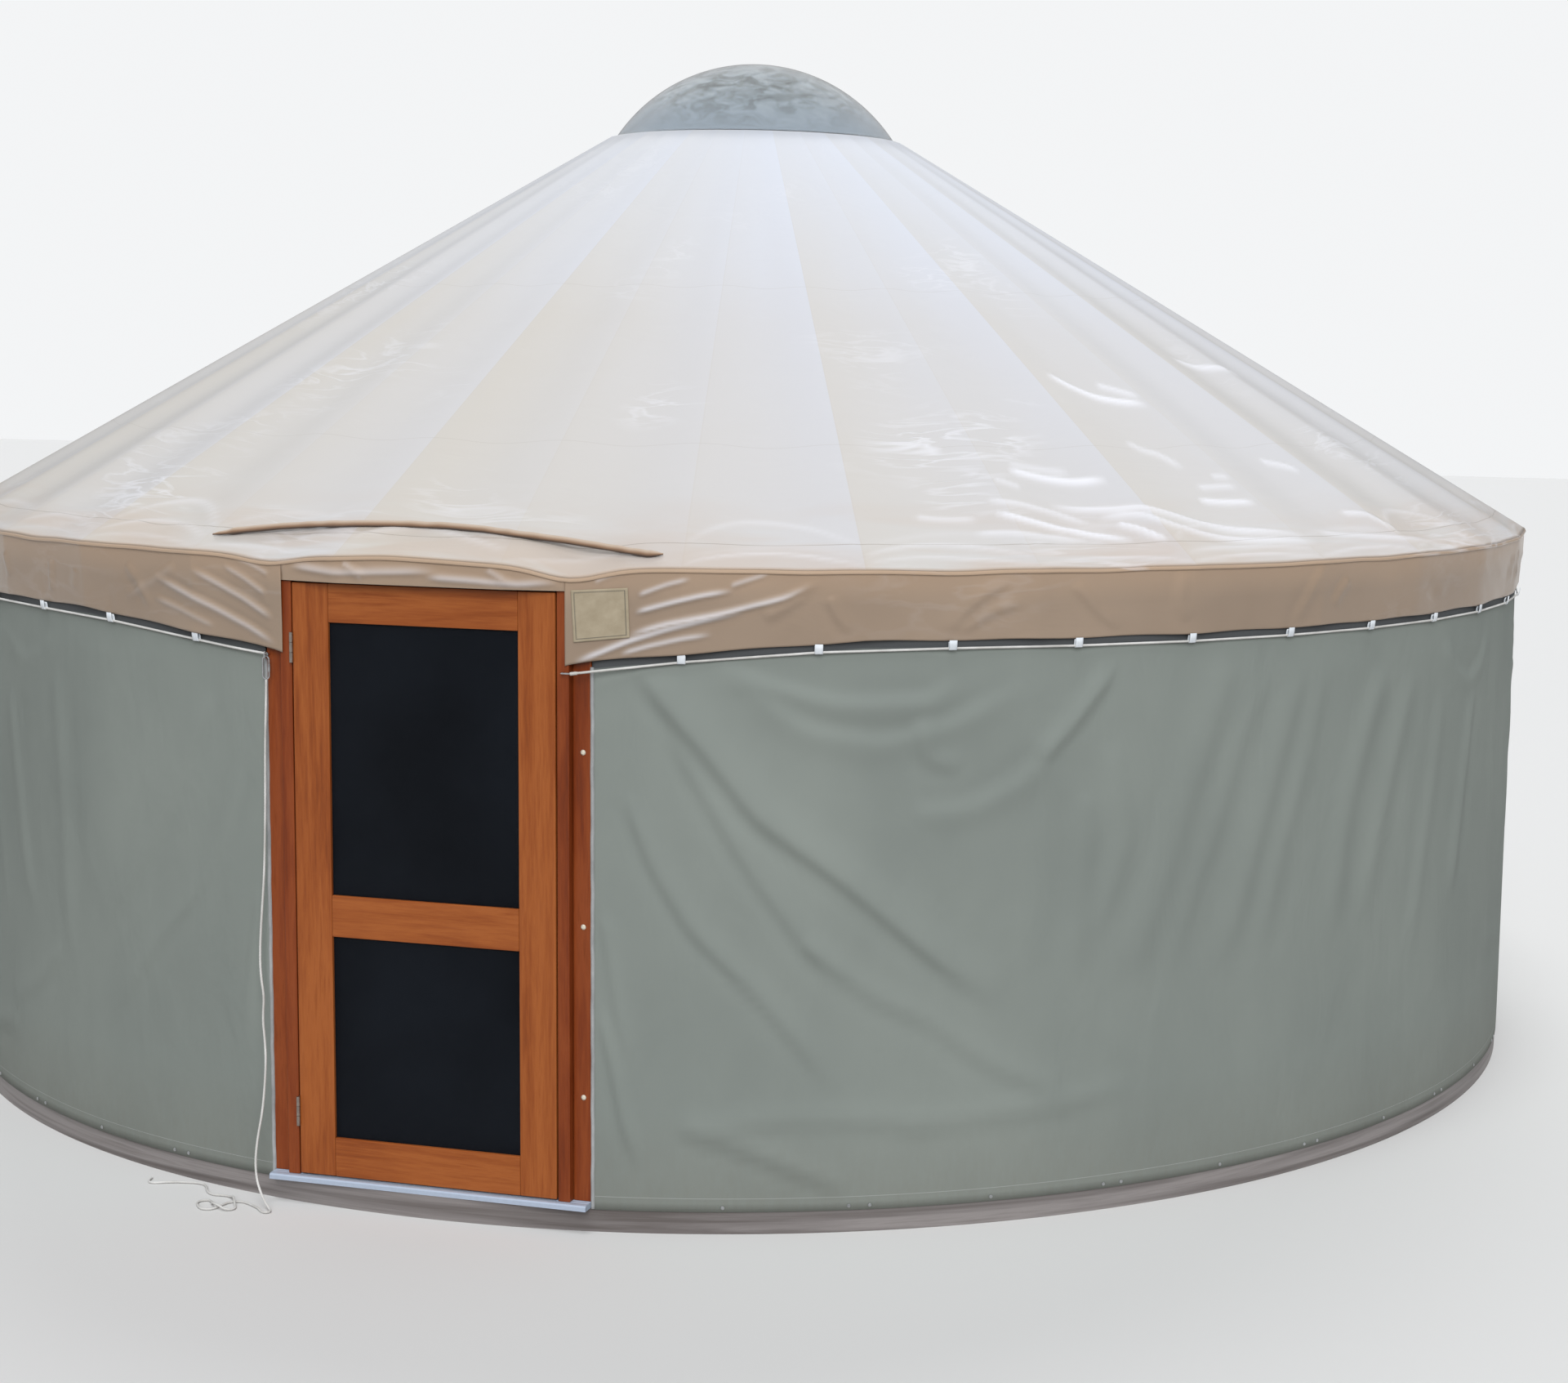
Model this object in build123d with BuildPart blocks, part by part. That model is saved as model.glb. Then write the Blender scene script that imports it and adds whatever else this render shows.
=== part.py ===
from build123d import *
from math import sin, cos, tan, asin, acos, sqrt, pi, radians, degrees
import os

# Fabric yurt on a round platform, in millimetres.
# The origin is the centre of the base circle on the ground, +Z is up and the door faces -Y.
# A bearing is the angle in degrees from the door, seen from above, growing towards +X.

# Platform
floor_height = 100
floor_thickness = 20
rim_thickness = 12
joist_width = 38
joist_spacing = 406

# Wall
wall_radius = 3308
wall_cover_thickness = 4
wall_hem_lap = 25
wall_top_lap = 15
wall_segments = 6
wall_door_gap = 2.5
soft_gap = 0.3
piping_width = 13
piping_depth = 7
piping_drop = 40

# Lattice
lath_width = 38
lath_depth = 25
lattice_columns = 60
lattice_rows = 6
lattice_door_gap = 6.5
panel_gap = 3
cable_diameter = 8
cable_setback = 16
cable_end_inset = 0.2

# Roof
rafter_count = 36
rafter_groups = 4
front_gores = 5
eave_overhang = 35
eave_rise = 35
roof_pitch = 30.5
roof_cover_thickness = 4
gore_margin = 5
rafter_width = 38
rafter_depth = 89
rafter_end_gap = 6

# Compression ring and dome
dome_hole_radius = 600
ring_lap = 40
ring_thickness = 55
ring_depth = 140
notch_depth = 12
notch_clearance = 0.3
dome_rise = 336
dome_thickness = 6
dome_flange_width = 30
dome_side_gap = 2
dome_bands = 5

# Valance and its rope
valance_drop = 230
valance_tuck = 15
valance_door_drop = 319
valance_door_tuck = 3
valance_casing_lap = 32.5
flap_clearance = 6
flap_tuck = 2
valance_rope_diameter = 8
valance_rope_tuck = 6
valance_rope_drop = 24
loop_spacing = 7.5

# Rain diverter welt over the door: bearing, and distance back from the eave of its lower edge
diverter_width = 30
diverter_height = 16
diverter_setbacks = ((0, 181), (5, 160), (11.2, 93), (13.8, 53))
diverter_shape = ((0, 0), (1, 0), (0.8, 0.8), (0.3, 1))

# Door row
door_setback = 22
leaf_width = 924
leaf_height = 1988
leaf_thickness = 35
leaf_gap = 5
leaf_floor_gap = 6
stile_width = 128
top_rail_height = 128
middle_rail_height = 139
bottom_rail_height = 132
lower_screen_height = 685
screen_thickness = 4
screen_recess = 12
screen_rebate = 10
casing_width = 41
casing_setback = 2
casing_groove = 3
groove_depth = 34
outer_strip_width = 63
jamb_setback = 28
jamb_depth = 134
stop_width = 13
stop_gap = 5.3
head_height = 46
sill_thickness = 20
sill_overhang = 18
sill_end_setback = 4
sill_nosing = 3

# Hinges
hinge_length = 100
hinge_knuckle = 12
hinge_plate = 1.8
hinge_plate_depth = 30
hinge_pin = 5
hinge_play = 0.3
hinge_inset = 214

# Rope hardware
hook_wire = 6
hook_reach = 16
hook_inset = 20
hook_drop = 22
hook_end_gap = 1.5
rope_end_reach = 14
eye_inset = 10
eye_rise = 11
eye_wire = 5
eye_radius = 11
eye_shank = 12
link_wire = 5
link_length = 80
link_width = 28
knot_gap = 1
rope_diameter = 8
cord_sides = 6
ring_sides = 16
hinge_sides = 12

os.makedirs("parts", exist_ok=True)


def radial_plane(bearing):
    """Vertical plane through the axis: local x points outwards, local y is up."""
    s, c = sin(radians(bearing)), cos(radians(bearing))
    return Plane(origin=(0, 0, 0), x_dir=(s, -c, 0), z_dir=(-c, -s, 0))


def at_bearing(bearing, radius, height):
    return (radius * sin(radians(bearing)), -radius * cos(radians(bearing)), height)


def save(part, name):
    part.label = name
    export_step(part, f"parts/{name}.step")


# Values worked out from the driving dimensions
floor_bottom = floor_height - floor_thickness
wall_inner = wall_radius - wall_cover_thickness
wall_hem_height = floor_height - wall_hem_lap
rim_outer = wall_inner - soft_gap
rim_inner = rim_outer - rim_thickness

half_leaf = leaf_width / 2
leaf_bottom = floor_height + leaf_floor_gap
leaf_top = leaf_bottom + leaf_height
door_front = door_setback - wall_radius
leaf_back = door_front + leaf_thickness
stop_front = leaf_back + stop_gap
casing_inner = half_leaf + leaf_gap
casing_outer = casing_inner + casing_width
casing_front = door_front + casing_setback
jamb_outer = casing_outer + casing_groove + outer_strip_width
jamb_front = casing_front + jamb_setback
jamb_back = jamb_front + jamb_depth
head_bottom = leaf_top + leaf_gap
sill_front = door_front - sill_overhang
sill_half_width = jamb_outer - sill_end_setback
wall_start = degrees(asin((jamb_outer + wall_door_gap) / wall_inner))

plate_height = head_bottom + head_height
wall_top = plate_height + wall_top_lap
eave_height = plate_height + eave_rise
eave_radius = wall_radius + eave_overhang
slope = tan(radians(roof_pitch))
cover_drop = roof_cover_thickness / cos(radians(roof_pitch))
gore_angle = 360 / rafter_count
half_gore = gore_angle / 2
first_rafter = half_gore
front_edge = front_gores * half_gore
ring_outer_radius = dome_hole_radius + ring_lap

valance_foot_radius = eave_radius - valance_tuck
valance_foot_height = eave_height - valance_drop
valance_door_radius = eave_radius - valance_door_tuck
valance_door_height = eave_height - valance_door_drop
valance_door_bearing = degrees(asin((casing_inner + valance_casing_lap) / valance_door_radius))
flap_foot_radius = eave_radius - flap_tuck
flap_foot_height = leaf_top + flap_clearance
valance_rope_radius = valance_foot_radius - valance_rope_tuck


def roof_height(radius):
    """Height of the outer roof surface over a rafter."""
    return eave_height + (eave_radius - radius) * slope


def facet_scale(bearing):
    """Share of the corner radius that the many-sided roof has at a bearing."""
    offset = (bearing - first_rafter) % gore_angle - half_gore
    return cos(radians(half_gore)) / cos(radians(offset))


# Platform

with BuildPart() as platform_floor:
    with BuildSketch(Plane.XY.offset(floor_bottom)):
        Circle(rim_inner - soft_gap)
        with Locations((0, sill_front)):
            Rectangle(
                2 * (sill_half_width + soft_gap),
                jamb_back - sill_front + soft_gap,
                align=(Align.CENTER, Align.MIN),
                mode=Mode.SUBTRACT,
            )
    extrude(amount=floor_thickness)
save(platform_floor.part, "platform_floor")

joists_per_side = int((rim_inner - soft_gap - joist_width / 2) / joist_spacing + 0.5)
with BuildPart() as platform_joists:
    for i in range(joists_per_side):
        joist_x = (i + 0.5) * joist_spacing
        reach = joist_x + joist_width / 2
        half_length = sqrt((rim_inner - soft_gap) ** 2 - reach**2)
        with Locations((joist_x, 0, 0), (-joist_x, 0, 0)):
            Box(
                joist_width,
                2 * half_length,
                floor_bottom,
                align=(Align.CENTER, Align.CENTER, Align.MIN),
            )
save(platform_joists.part, "platform_joists")

with BuildPart() as platform_rim:
    with BuildSketch():
        Circle(rim_outer)
        Circle(rim_inner, mode=Mode.SUBTRACT)
    extrude(amount=floor_height)
    with Locations((0, sill_front - rim_thickness, floor_height - sill_thickness)):
        Box(
            2 * (sill_half_width + soft_gap),
            jamb_back - sill_front + rim_thickness,
            sill_thickness,
            align=(Align.CENTER, Align.MIN, Align.MIN),
            mode=Mode.SUBTRACT,
        )
save(platform_rim.part, "platform_rim")

# Wall cover: curved strips of fabric between the two door jambs

wall_turn = (360 - 2 * wall_start) / wall_segments
for i in range(wall_segments):
    with BuildPart() as wall_cover:
        with BuildSketch(radial_plane(wall_start + i * wall_turn)):
            with Locations((wall_inner, wall_hem_height)):
                Rectangle(
                    wall_cover_thickness,
                    wall_top - wall_hem_height,
                    align=(Align.MIN, Align.MIN),
                )
        revolve(axis=Axis.Z, revolution_arc=wall_turn)
    save(wall_cover.part, f"wall_cover_{i + 1}")

# Edge piping: a half-round bead on the cover along each side of the door row

piping_bearing = wall_start + degrees((piping_width / 2) / wall_radius)
piping_top = valance_door_height - piping_drop
with BuildPart() as edge_piping:
    for side in (-1, 1):
        at = at_bearing(side * piping_bearing, wall_radius + soft_gap, wall_hem_height)
        outward = at_bearing(side * piping_bearing, 1, 0)
        with BuildSketch(Plane(origin=at, x_dir=outward, z_dir=(0, 0, 1))):
            with BuildLine():
                Polyline(
                    (piping_depth, piping_width / 4),
                    (piping_depth / 2, piping_width / 2),
                    (0, piping_width / 2),
                    (0, -piping_width / 2),
                    (piping_depth / 2, -piping_width / 2),
                    (piping_depth, -piping_width / 4),
                    close=True,
                )
            make_face()
        extrude(amount=piping_top - wall_hem_height)
save(edge_piping.part, "edge_piping")

# Lattice: each flat facet between two fold lines holds one zigzag of laths,
# and neighbouring zigzags meet in a crossing on their shared fold line

lattice_outer = wall_inner - soft_gap
lattice_bottom = floor_height + soft_gap
lattice_top = plate_height - cable_diameter - 2 * soft_gap
lattice_start = degrees(asin((jamb_outer + lattice_door_gap) / lattice_outer))
column_turn = (360 - 2 * lattice_start) / lattice_columns
facet_width = 2 * lattice_outer * sin(radians(column_turn / 2))


def lath_height_along_fold():
    """Upright size of a lath cut by a fold line: its width over the cosine of its slope."""
    height = lath_width
    for _ in range(20):
        rise = (lattice_top - lattice_bottom - height) / lattice_rows
        height = lath_width * sqrt(rise**2 + facet_width**2) / facet_width
    return height


crossing_height = lath_height_along_fold()
row_height = (lattice_top - lattice_bottom - crossing_height) / lattice_rows
crotch = facet_width * crossing_height / (2 * row_height)


def zigzag_outline(starts_left, left_edge, right_edge):
    """Closed outline of a zigzag of laths that swings between the two fold lines."""
    left_side, right_side = [], []
    for row in range(lattice_rows + 1):
        at_left = (row % 2 == 0) == starts_left
        z = lattice_bottom + crossing_height / 2 + row * row_height
        low, high = z - crossing_height / 2, z + crossing_height / 2
        inside = 0 < row < lattice_rows
        if at_left:
            left_side += [(0, low), (0, high)]
            right_side += [(crotch, z)] if inside else []
        else:
            right_side += [(facet_width, low), (facet_width, high)]
            left_side += [(facet_width - crotch, z)] if inside else []
    outline = right_side + left_side[::-1]
    return [(min(max(x, left_edge), right_edge), z) for x, z in outline]


columns_per_panel = lattice_columns // wall_segments
for i in range(wall_segments):
    with BuildPart() as lattice_panel:
        for j in range(columns_per_panel):
            column = i * columns_per_panel + j
            bearing = lattice_start + column * column_turn
            corner = Vector(*at_bearing(bearing, lattice_outer, 0))
            along = Vector(*at_bearing(bearing + column_turn, lattice_outer, 0)) - corner
            facet = Plane(origin=corner, x_dir=along, z_dir=along.cross(Vector(0, 0, 1)))
            left_edge = panel_gap / 2 if j == 0 else 0
            right_edge = facet_width - (panel_gap / 2 if j == columns_per_panel - 1 else 0)
            with BuildSketch(facet):
                with BuildLine():
                    Polyline(*zigzag_outline(column % 2 == 0, left_edge, right_edge), close=True)
                make_face()
            extrude(amount=-lath_depth)
    save(lattice_panel.part, f"lattice_panel_{i + 1}")

# Tension cable: runs straight from rafter to rafter on top of the lattice

cable_radius = wall_inner - cable_setback
cable_bearings = [lattice_start + cable_end_inset]
cable_bearings += [first_rafter + gore_angle * k for k in range(1, rafter_count - 1)]
cable_bearings += [360 - lattice_start - cable_end_inset]
cable_height = plate_height - soft_gap - cable_diameter / 2
cable_points = [at_bearing(b, cable_radius, cable_height) for b in cable_bearings]
with BuildPart() as tension_cable:
    with BuildLine() as cable_path:
        Polyline(*cable_points)
    start = cable_path.line
    with BuildSketch(Plane(origin=start @ 0, z_dir=start % 0)):
        RegularPolygon(cable_diameter / 2, cord_sides)
    sweep(transition=Transition.RIGHT)
save(tension_cable.part, "tension_cable")

# Rafters: a plumb tip in the ring's notch, a level seat on the cable and a plumb heel

collar_height = roof_height(ring_outer_radius)
flange_top = collar_height - roof_cover_thickness - soft_gap
ring_top = flange_top - dome_thickness - soft_gap
ridge_drop = rafter_width / 2 * tan(radians(half_gore)) * slope + soft_gap
rafter_fall = rafter_depth / cos(radians(roof_pitch))
rafter_tip = ring_outer_radius - notch_depth + notch_clearance


def rafter_top(radius):
    """Height of a rafter's upper edge, under the inner face of the roof cover."""
    return roof_height(radius) - cover_drop - ridge_drop


def rafter_radius(height):
    """Distance from the axis at which a rafter's upper edge has a height."""
    return eave_radius - (height + cover_drop + ridge_drop - eave_height) / slope


rafter_heel_radius = wall_inner - rafter_end_gap
seat_radius = rafter_radius(plate_height + rafter_fall)
for group in range(rafter_groups):
    first = group * rafter_count // rafter_groups
    last = (group + 1) * rafter_count // rafter_groups
    with BuildPart() as rafters:
        for k in range(first, last):
            with BuildSketch(radial_plane(first_rafter + gore_angle * k)):
                with BuildLine():
                    Polyline(
                        (rafter_tip, ring_top),
                        (rafter_tip, rafter_top(rafter_tip) - rafter_fall),
                        (seat_radius, plate_height),
                        (rafter_heel_radius, plate_height),
                        (rafter_heel_radius, rafter_top(rafter_heel_radius)),
                        (rafter_radius(ring_top), ring_top),
                        close=True,
                    )
                make_face()
            extrude(amount=rafter_width / 2, both=True)
    save(rafters.part, f"rafters_{group + 1}")

# Compression ring with a housing for each rafter

notch_bottom = rafter_top(ring_outer_radius) - rafter_fall - notch_clearance
with BuildPart() as compression_ring:
    with BuildSketch(Plane.XY.offset(ring_top - ring_depth)):
        Circle(ring_outer_radius)
        Circle(ring_outer_radius - ring_thickness, mode=Mode.SUBTRACT)
    extrude(amount=ring_depth)
    with Locations((0, 0, notch_bottom)):
        with PolarLocations(ring_outer_radius, rafter_count, start_angle=first_rafter - 90):
            Box(
                2 * notch_depth,
                rafter_width + 2 * notch_clearance,
                ring_depth,
                align=(Align.CENTER, Align.CENTER, Align.MIN),
                mode=Mode.SUBTRACT,
            )
save(compression_ring.part, "compression_ring")

# Clear dome: a thin cap of a sphere on a flat flange that the roof cover holds down

dome_radius = dome_hole_radius * cos(radians(half_gore)) - dome_side_gap
dome_foot = ring_top + soft_gap
sphere_radius = (dome_radius**2 + dome_rise**2) / (2 * dome_rise)
sphere_center = flange_top + dome_rise - sphere_radius
inner_sphere = sphere_radius - dome_thickness


def sphere_point(radius, foot_height, share):
    """Point of the section arc, from its foot at share 0 to the axis at share 1."""
    foot_angle = acos((foot_height - sphere_center) / radius)
    angle = foot_angle * (1 - share)
    return (radius * sin(angle), sphere_center + radius * cos(angle))


band_shares = [k / dome_bands for k in range(dome_bands + 1)]
with BuildPart() as dome:
    with BuildSketch(radial_plane(0)):
        with BuildLine():
            outer = [sphere_point(sphere_radius, flange_top, share) for share in band_shares]
            inner = [sphere_point(inner_sphere, dome_foot, share) for share in band_shares]
            flange_edge = dome_radius + dome_flange_width
            flange = [(flange_edge, dome_foot), (flange_edge, flange_top)]
            Polyline(*outer, *inner[::-1], *flange, close=True)
        make_face()
    revolve(axis=Axis.Z)
save(dome.part, "dome")

# Roof cover: flat gores over the rafters, folded down at the eave into the valance


def valance_foot(bearing):
    """Radius over a rafter and height of the valance's lower edge."""
    away = min(bearing % 360, 360 - bearing % 360)
    share = (away - valance_door_bearing) / (front_edge - valance_door_bearing)
    share = min(max(share, 0), 1)
    radius = valance_door_radius + (valance_foot_radius - valance_door_radius) * share
    height = valance_door_height + (valance_foot_height - valance_door_height) * share**0.75
    return radius, height


def skirt_profile(foot_radius, foot_height):
    """Section of a hanging skirt over a rafter, from the outer eave round to the inner one."""
    inner_eave = eave_radius - roof_cover_thickness
    return [
        (eave_radius, eave_height),
        (foot_radius, foot_height),
        (foot_radius - roof_cover_thickness, foot_height),
        (inner_eave, roof_height(inner_eave) - cover_drop),
    ]


def slope_profile():
    """Section of the sloping cover over a rafter, from its inner eave up to the collar and back."""
    inner_eave = eave_radius - roof_cover_thickness
    return [
        (inner_eave, roof_height(inner_eave) - cover_drop),
        (ring_outer_radius + 1, collar_height - roof_cover_thickness),
        (dome_hole_radius, collar_height - roof_cover_thickness),
        (dome_hole_radius, collar_height),
        (ring_outer_radius, collar_height),
        (eave_radius, eave_height),
    ]


def gore(profile):
    """One flat gore over the door: its section drawn out sideways and cut along both ridges."""
    with BuildPart() as flat_gore:
        with BuildSketch(radial_plane(0)):
            with BuildLine():
                Polyline(*[(r * facet_scale(0), z) for r, z in profile], close=True)
            make_face()
        extrude(amount=eave_radius * sin(radians(half_gore)) + gore_margin, both=True)
        split(bisect_by=radial_plane(half_gore), keep=Keep.TOP)
        split(bisect_by=radial_plane(-half_gore), keep=Keep.BOTTOM)
    return flat_gore.part


def skirt_sections(bearings, foot):
    """Sections of a skirt at some bearings, to be joined straight from each to the next."""
    sections = []
    for bearing in bearings:
        scale = facet_scale(bearing)
        with BuildSketch(radial_plane(bearing)) as section:
            with BuildLine():
                Polyline(*[(r * scale, z) for r, z in skirt_profile(*foot(bearing))], close=True)
            make_face()
        sections.append(section.sketch)
    return sections


def flap_foot(bearing):
    """Radius and height of the short flap's lower edge, the same all along the door."""
    return flap_foot_radius, flap_foot_height


sloping_gore = gore(slope_profile())
with BuildPart() as roof_cover_front:
    for k in range(front_gores):
        add(sloping_gore, rotation=(0, 0, gore_angle * (k - (front_gores - 1) / 2)))
save(roof_cover_front.part, "roof_cover_front")

rear_gores = rafter_count - front_gores
side_gores = rear_gores // 5
section_gores = {
    "right_front": side_gores,
    "right_back": side_gores,
    "back": rear_gores - 4 * side_gores,
    "left_back": side_gores,
    "left_front": side_gores,
}
skirted_gore = gore(skirt_profile(valance_foot_radius, valance_foot_height) + slope_profile()[1:-1])
next_gore = front_edge + half_gore
for place, gores in section_gores.items():
    with BuildPart() as roof_cover:
        for k in range(gores):
            add(skirted_gore, rotation=(0, 0, next_gore + gore_angle * k))
    save(roof_cover.part, f"roof_cover_{place}")
    next_gore += gore_angle * gores

flap_bearings = (-valance_door_bearing, -first_rafter, first_rafter, valance_door_bearing)
with BuildPart() as valance_flap:
    loft(skirt_sections(flap_bearings, flap_foot), ruled=True)
save(valance_flap.part, "valance_flap")

second_rafter = first_rafter + gore_angle
skirt_bearings = (
    valance_door_bearing,
    (valance_door_bearing + second_rafter) / 2,
    second_rafter,
    (second_rafter + front_edge) / 2,
    front_edge,
)
for side, name in ((-1, "valance_front_left"), (1, "valance_front_right")):
    with BuildPart() as valance_front:
        loft(skirt_sections([side * bearing for bearing in skirt_bearings], valance_foot), ruled=True)
    save(valance_front.part, name)

# Rain diverter: a rolled welt on the roof cover over the door, its ends lower than its middle

diverter_route = [(-b, back) for b, back in diverter_setbacks[:0:-1]] + list(diverter_setbacks)
with BuildPart() as rain_diverter:
    for bearing, setback in diverter_route:
        scale = facet_scale(bearing)
        with BuildSketch(radial_plane(bearing)):
            with BuildLine():
                outline = []
                for across, up in diverter_shape:
                    radius = eave_radius - setback - across * diverter_width
                    lift = soft_gap / cos(radians(roof_pitch)) + up * diverter_height
                    outline.append((radius * scale, roof_height(radius) + lift))
                Polyline(*outline, close=True)
            make_face()
    loft(ruled=True)
save(rain_diverter.part, "rain_diverter")

# Door row

with BuildPart() as door_sill:
    with BuildSketch(Plane.XY.offset(floor_height - sill_thickness)):
        with Locations((0, sill_front)):
            Rectangle(2 * sill_half_width, jamb_back - sill_front, align=(Align.CENTER, Align.MIN))
    extrude(amount=sill_thickness)
    nosing = door_sill.edges().filter_by(Axis.X).group_by(Axis.Y)[0].sort_by(Axis.Z)[-1]
    chamfer(nosing, sill_nosing)
save(door_sill.part, "door_sill")

jamb_profile = (
    (casing_inner, casing_front),
    (casing_outer, casing_front),
    (casing_outer, casing_front + groove_depth),
    (casing_outer + casing_groove, casing_front + groove_depth),
    (casing_outer + casing_groove, jamb_front),
    (jamb_outer, jamb_front),
    (jamb_outer, jamb_back),
    (casing_inner - stop_width, jamb_back),
    (casing_inner - stop_width, stop_front),
    (casing_inner, stop_front),
)
for side, name in ((-1, "door_jamb_left"), (1, "door_jamb_right")):
    with BuildPart() as door_jamb:
        with BuildSketch(Plane.XY.offset(floor_height)):
            with BuildLine():
                Polyline(*[(side * x, y) for x, y in jamb_profile], close=True)
            make_face()
        extrude(amount=head_bottom - floor_height)
    save(door_jamb.part, name)

with BuildPart() as door_head:
    with BuildSketch(Plane.XY.offset(head_bottom)):
        with Locations((0, jamb_front)):
            Rectangle(2 * jamb_outer, jamb_back - jamb_front, align=(Align.CENTER, Align.MIN))
        with Locations((0, casing_front)):
            Rectangle(
                2 * casing_outer, jamb_front - casing_front, align=(Align.CENTER, Align.MIN)
            )
    extrude(amount=head_height)
    with BuildSketch(Plane.XY.offset(head_bottom)):
        with Locations((0, stop_front)):
            Rectangle(
                2 * (casing_inner - stop_width),
                jamb_back - stop_front,
                align=(Align.CENTER, Align.MIN),
            )
    extrude(amount=-stop_width)
save(door_head.part, "door_head")

# Screen door leaf: stiles run through, rails sit between them, both rebated for the screens

leaf_plane = Plane(origin=(0, leaf_back, leaf_bottom), x_dir=(1, 0, 0), z_dir=(0, -1, 0))
screen_front = door_front + screen_recess
rebate_depth = leaf_back - screen_front
opening_half = half_leaf - stile_width
lower_opening = bottom_rail_height
middle_rail_bottom = bottom_rail_height + lower_screen_height
upper_opening = middle_rail_bottom + middle_rail_height
top_rail_bottom = leaf_height - top_rail_height
screen_spans = ((lower_opening, middle_rail_bottom), (upper_opening, top_rail_bottom))


def screen_shapes():
    """Both screens' outlines, wider than their openings by the rebate."""
    with BuildSketch(leaf_plane) as shapes:
        for low, high in screen_spans:
            with Locations((0, low - screen_rebate)):
                Rectangle(
                    2 * (opening_half + screen_rebate),
                    high - low + 2 * screen_rebate,
                    align=(Align.CENTER, Align.MIN),
                )
    return shapes.sketch


for side, name in ((-1, "leaf_stile_left"), (1, "leaf_stile_right")):
    with BuildPart() as leaf_stile:
        with BuildSketch(leaf_plane):
            with Locations((side * (half_leaf - stile_width / 2), 0)):
                Rectangle(stile_width, leaf_height, align=(Align.CENTER, Align.MIN))
        extrude(amount=leaf_thickness)
        extrude(screen_shapes(), amount=rebate_depth, mode=Mode.SUBTRACT)
    save(leaf_stile.part, name)

rails = {
    "leaf_bottom_rail": (0, bottom_rail_height),
    "leaf_middle_rail": (middle_rail_bottom, middle_rail_height),
    "leaf_top_rail": (top_rail_bottom, top_rail_height),
}
for name, (low, height) in rails.items():
    with BuildPart() as leaf_rail:
        with BuildSketch(leaf_plane):
            with Locations((0, low)):
                Rectangle(2 * opening_half, height, align=(Align.CENTER, Align.MIN))
        extrude(amount=leaf_thickness)
        extrude(screen_shapes(), amount=rebate_depth, mode=Mode.SUBTRACT)
    save(leaf_rail.part, name)

with BuildPart() as leaf_screens:
    extrude(screen_shapes(), amount=rebate_depth)
    extrude(screen_shapes(), amount=rebate_depth - screen_thickness, mode=Mode.SUBTRACT)
save(leaf_screens.part, "leaf_screens")

# Hinges: three-part knuckles in front of the gap between leaf and jamb

hinge_heights = (leaf_bottom + hinge_inset, leaf_top - hinge_inset)
hinge_x = -(half_leaf + leaf_gap / 2)
hinge_y = door_front - hinge_knuckle / 2 - soft_gap
knuckle_length = hinge_length / 3 - hinge_play


def add_hinge_plate(plate_x, height):
    """Plate in the gap, from the knuckle back along the side of the leaf or jamb."""
    with Locations((plate_x, hinge_y, height)):
        Box(
            hinge_plate,
            hinge_plate_depth,
            hinge_length,
            align=(Align.CENTER, Align.MIN, Align.CENTER),
        )


def knuckle_plane(height):
    """Level plane across the pin of a hinge."""
    return Plane(origin=(hinge_x, hinge_y, height))


with BuildPart() as hinge_jamb_side:
    for height in hinge_heights:
        add_hinge_plate(-casing_inner + hinge_plate / 2, height)
        with BuildSketch(knuckle_plane(height)):
            RegularPolygon(hinge_knuckle / 2 + hinge_play, hinge_sides)
        extrude(amount=hinge_length / 6, both=True, mode=Mode.SUBTRACT)
        with BuildSketch(knuckle_plane(height)):
            RegularPolygon(hinge_pin / 2, hinge_sides)
        extrude(amount=hinge_length / 2, both=True)
        with BuildSketch(knuckle_plane(height + hinge_length / 6)):
            RegularPolygon(hinge_knuckle / 2, hinge_sides)
        extrude(amount=hinge_length / 3)
        with BuildSketch(knuckle_plane(height - hinge_length / 2)):
            RegularPolygon(hinge_knuckle / 2, hinge_sides)
        extrude(amount=hinge_length / 3)
save(hinge_jamb_side.part, "hinge_jamb_side")

with BuildPart() as hinge_leaf_side:
    for height in hinge_heights:
        add_hinge_plate(-half_leaf - hinge_plate / 2, height)
        with BuildSketch(
            knuckle_plane(height + hinge_length / 6 - hinge_play),
            knuckle_plane(height - hinge_length / 2 - hinge_play),
        ):
            RegularPolygon(hinge_knuckle / 2 + hinge_play, hinge_sides)
        extrude(amount=hinge_length / 3 + 2 * hinge_play, mode=Mode.SUBTRACT)
        with BuildSketch(knuckle_plane(height)):
            RegularPolygon(hinge_knuckle / 2, hinge_sides)
        extrude(amount=knuckle_length / 2, both=True)
        with BuildSketch(knuckle_plane(height)):
            RegularPolygon(hinge_pin / 2 + hinge_play, hinge_sides)
        extrude(amount=hinge_length / 2, both=True, mode=Mode.SUBTRACT)
save(hinge_leaf_side.part, "hinge_leaf_side")

# Valance rope: tight from the hook on the right jamb round the back to the left screw eye

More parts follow.
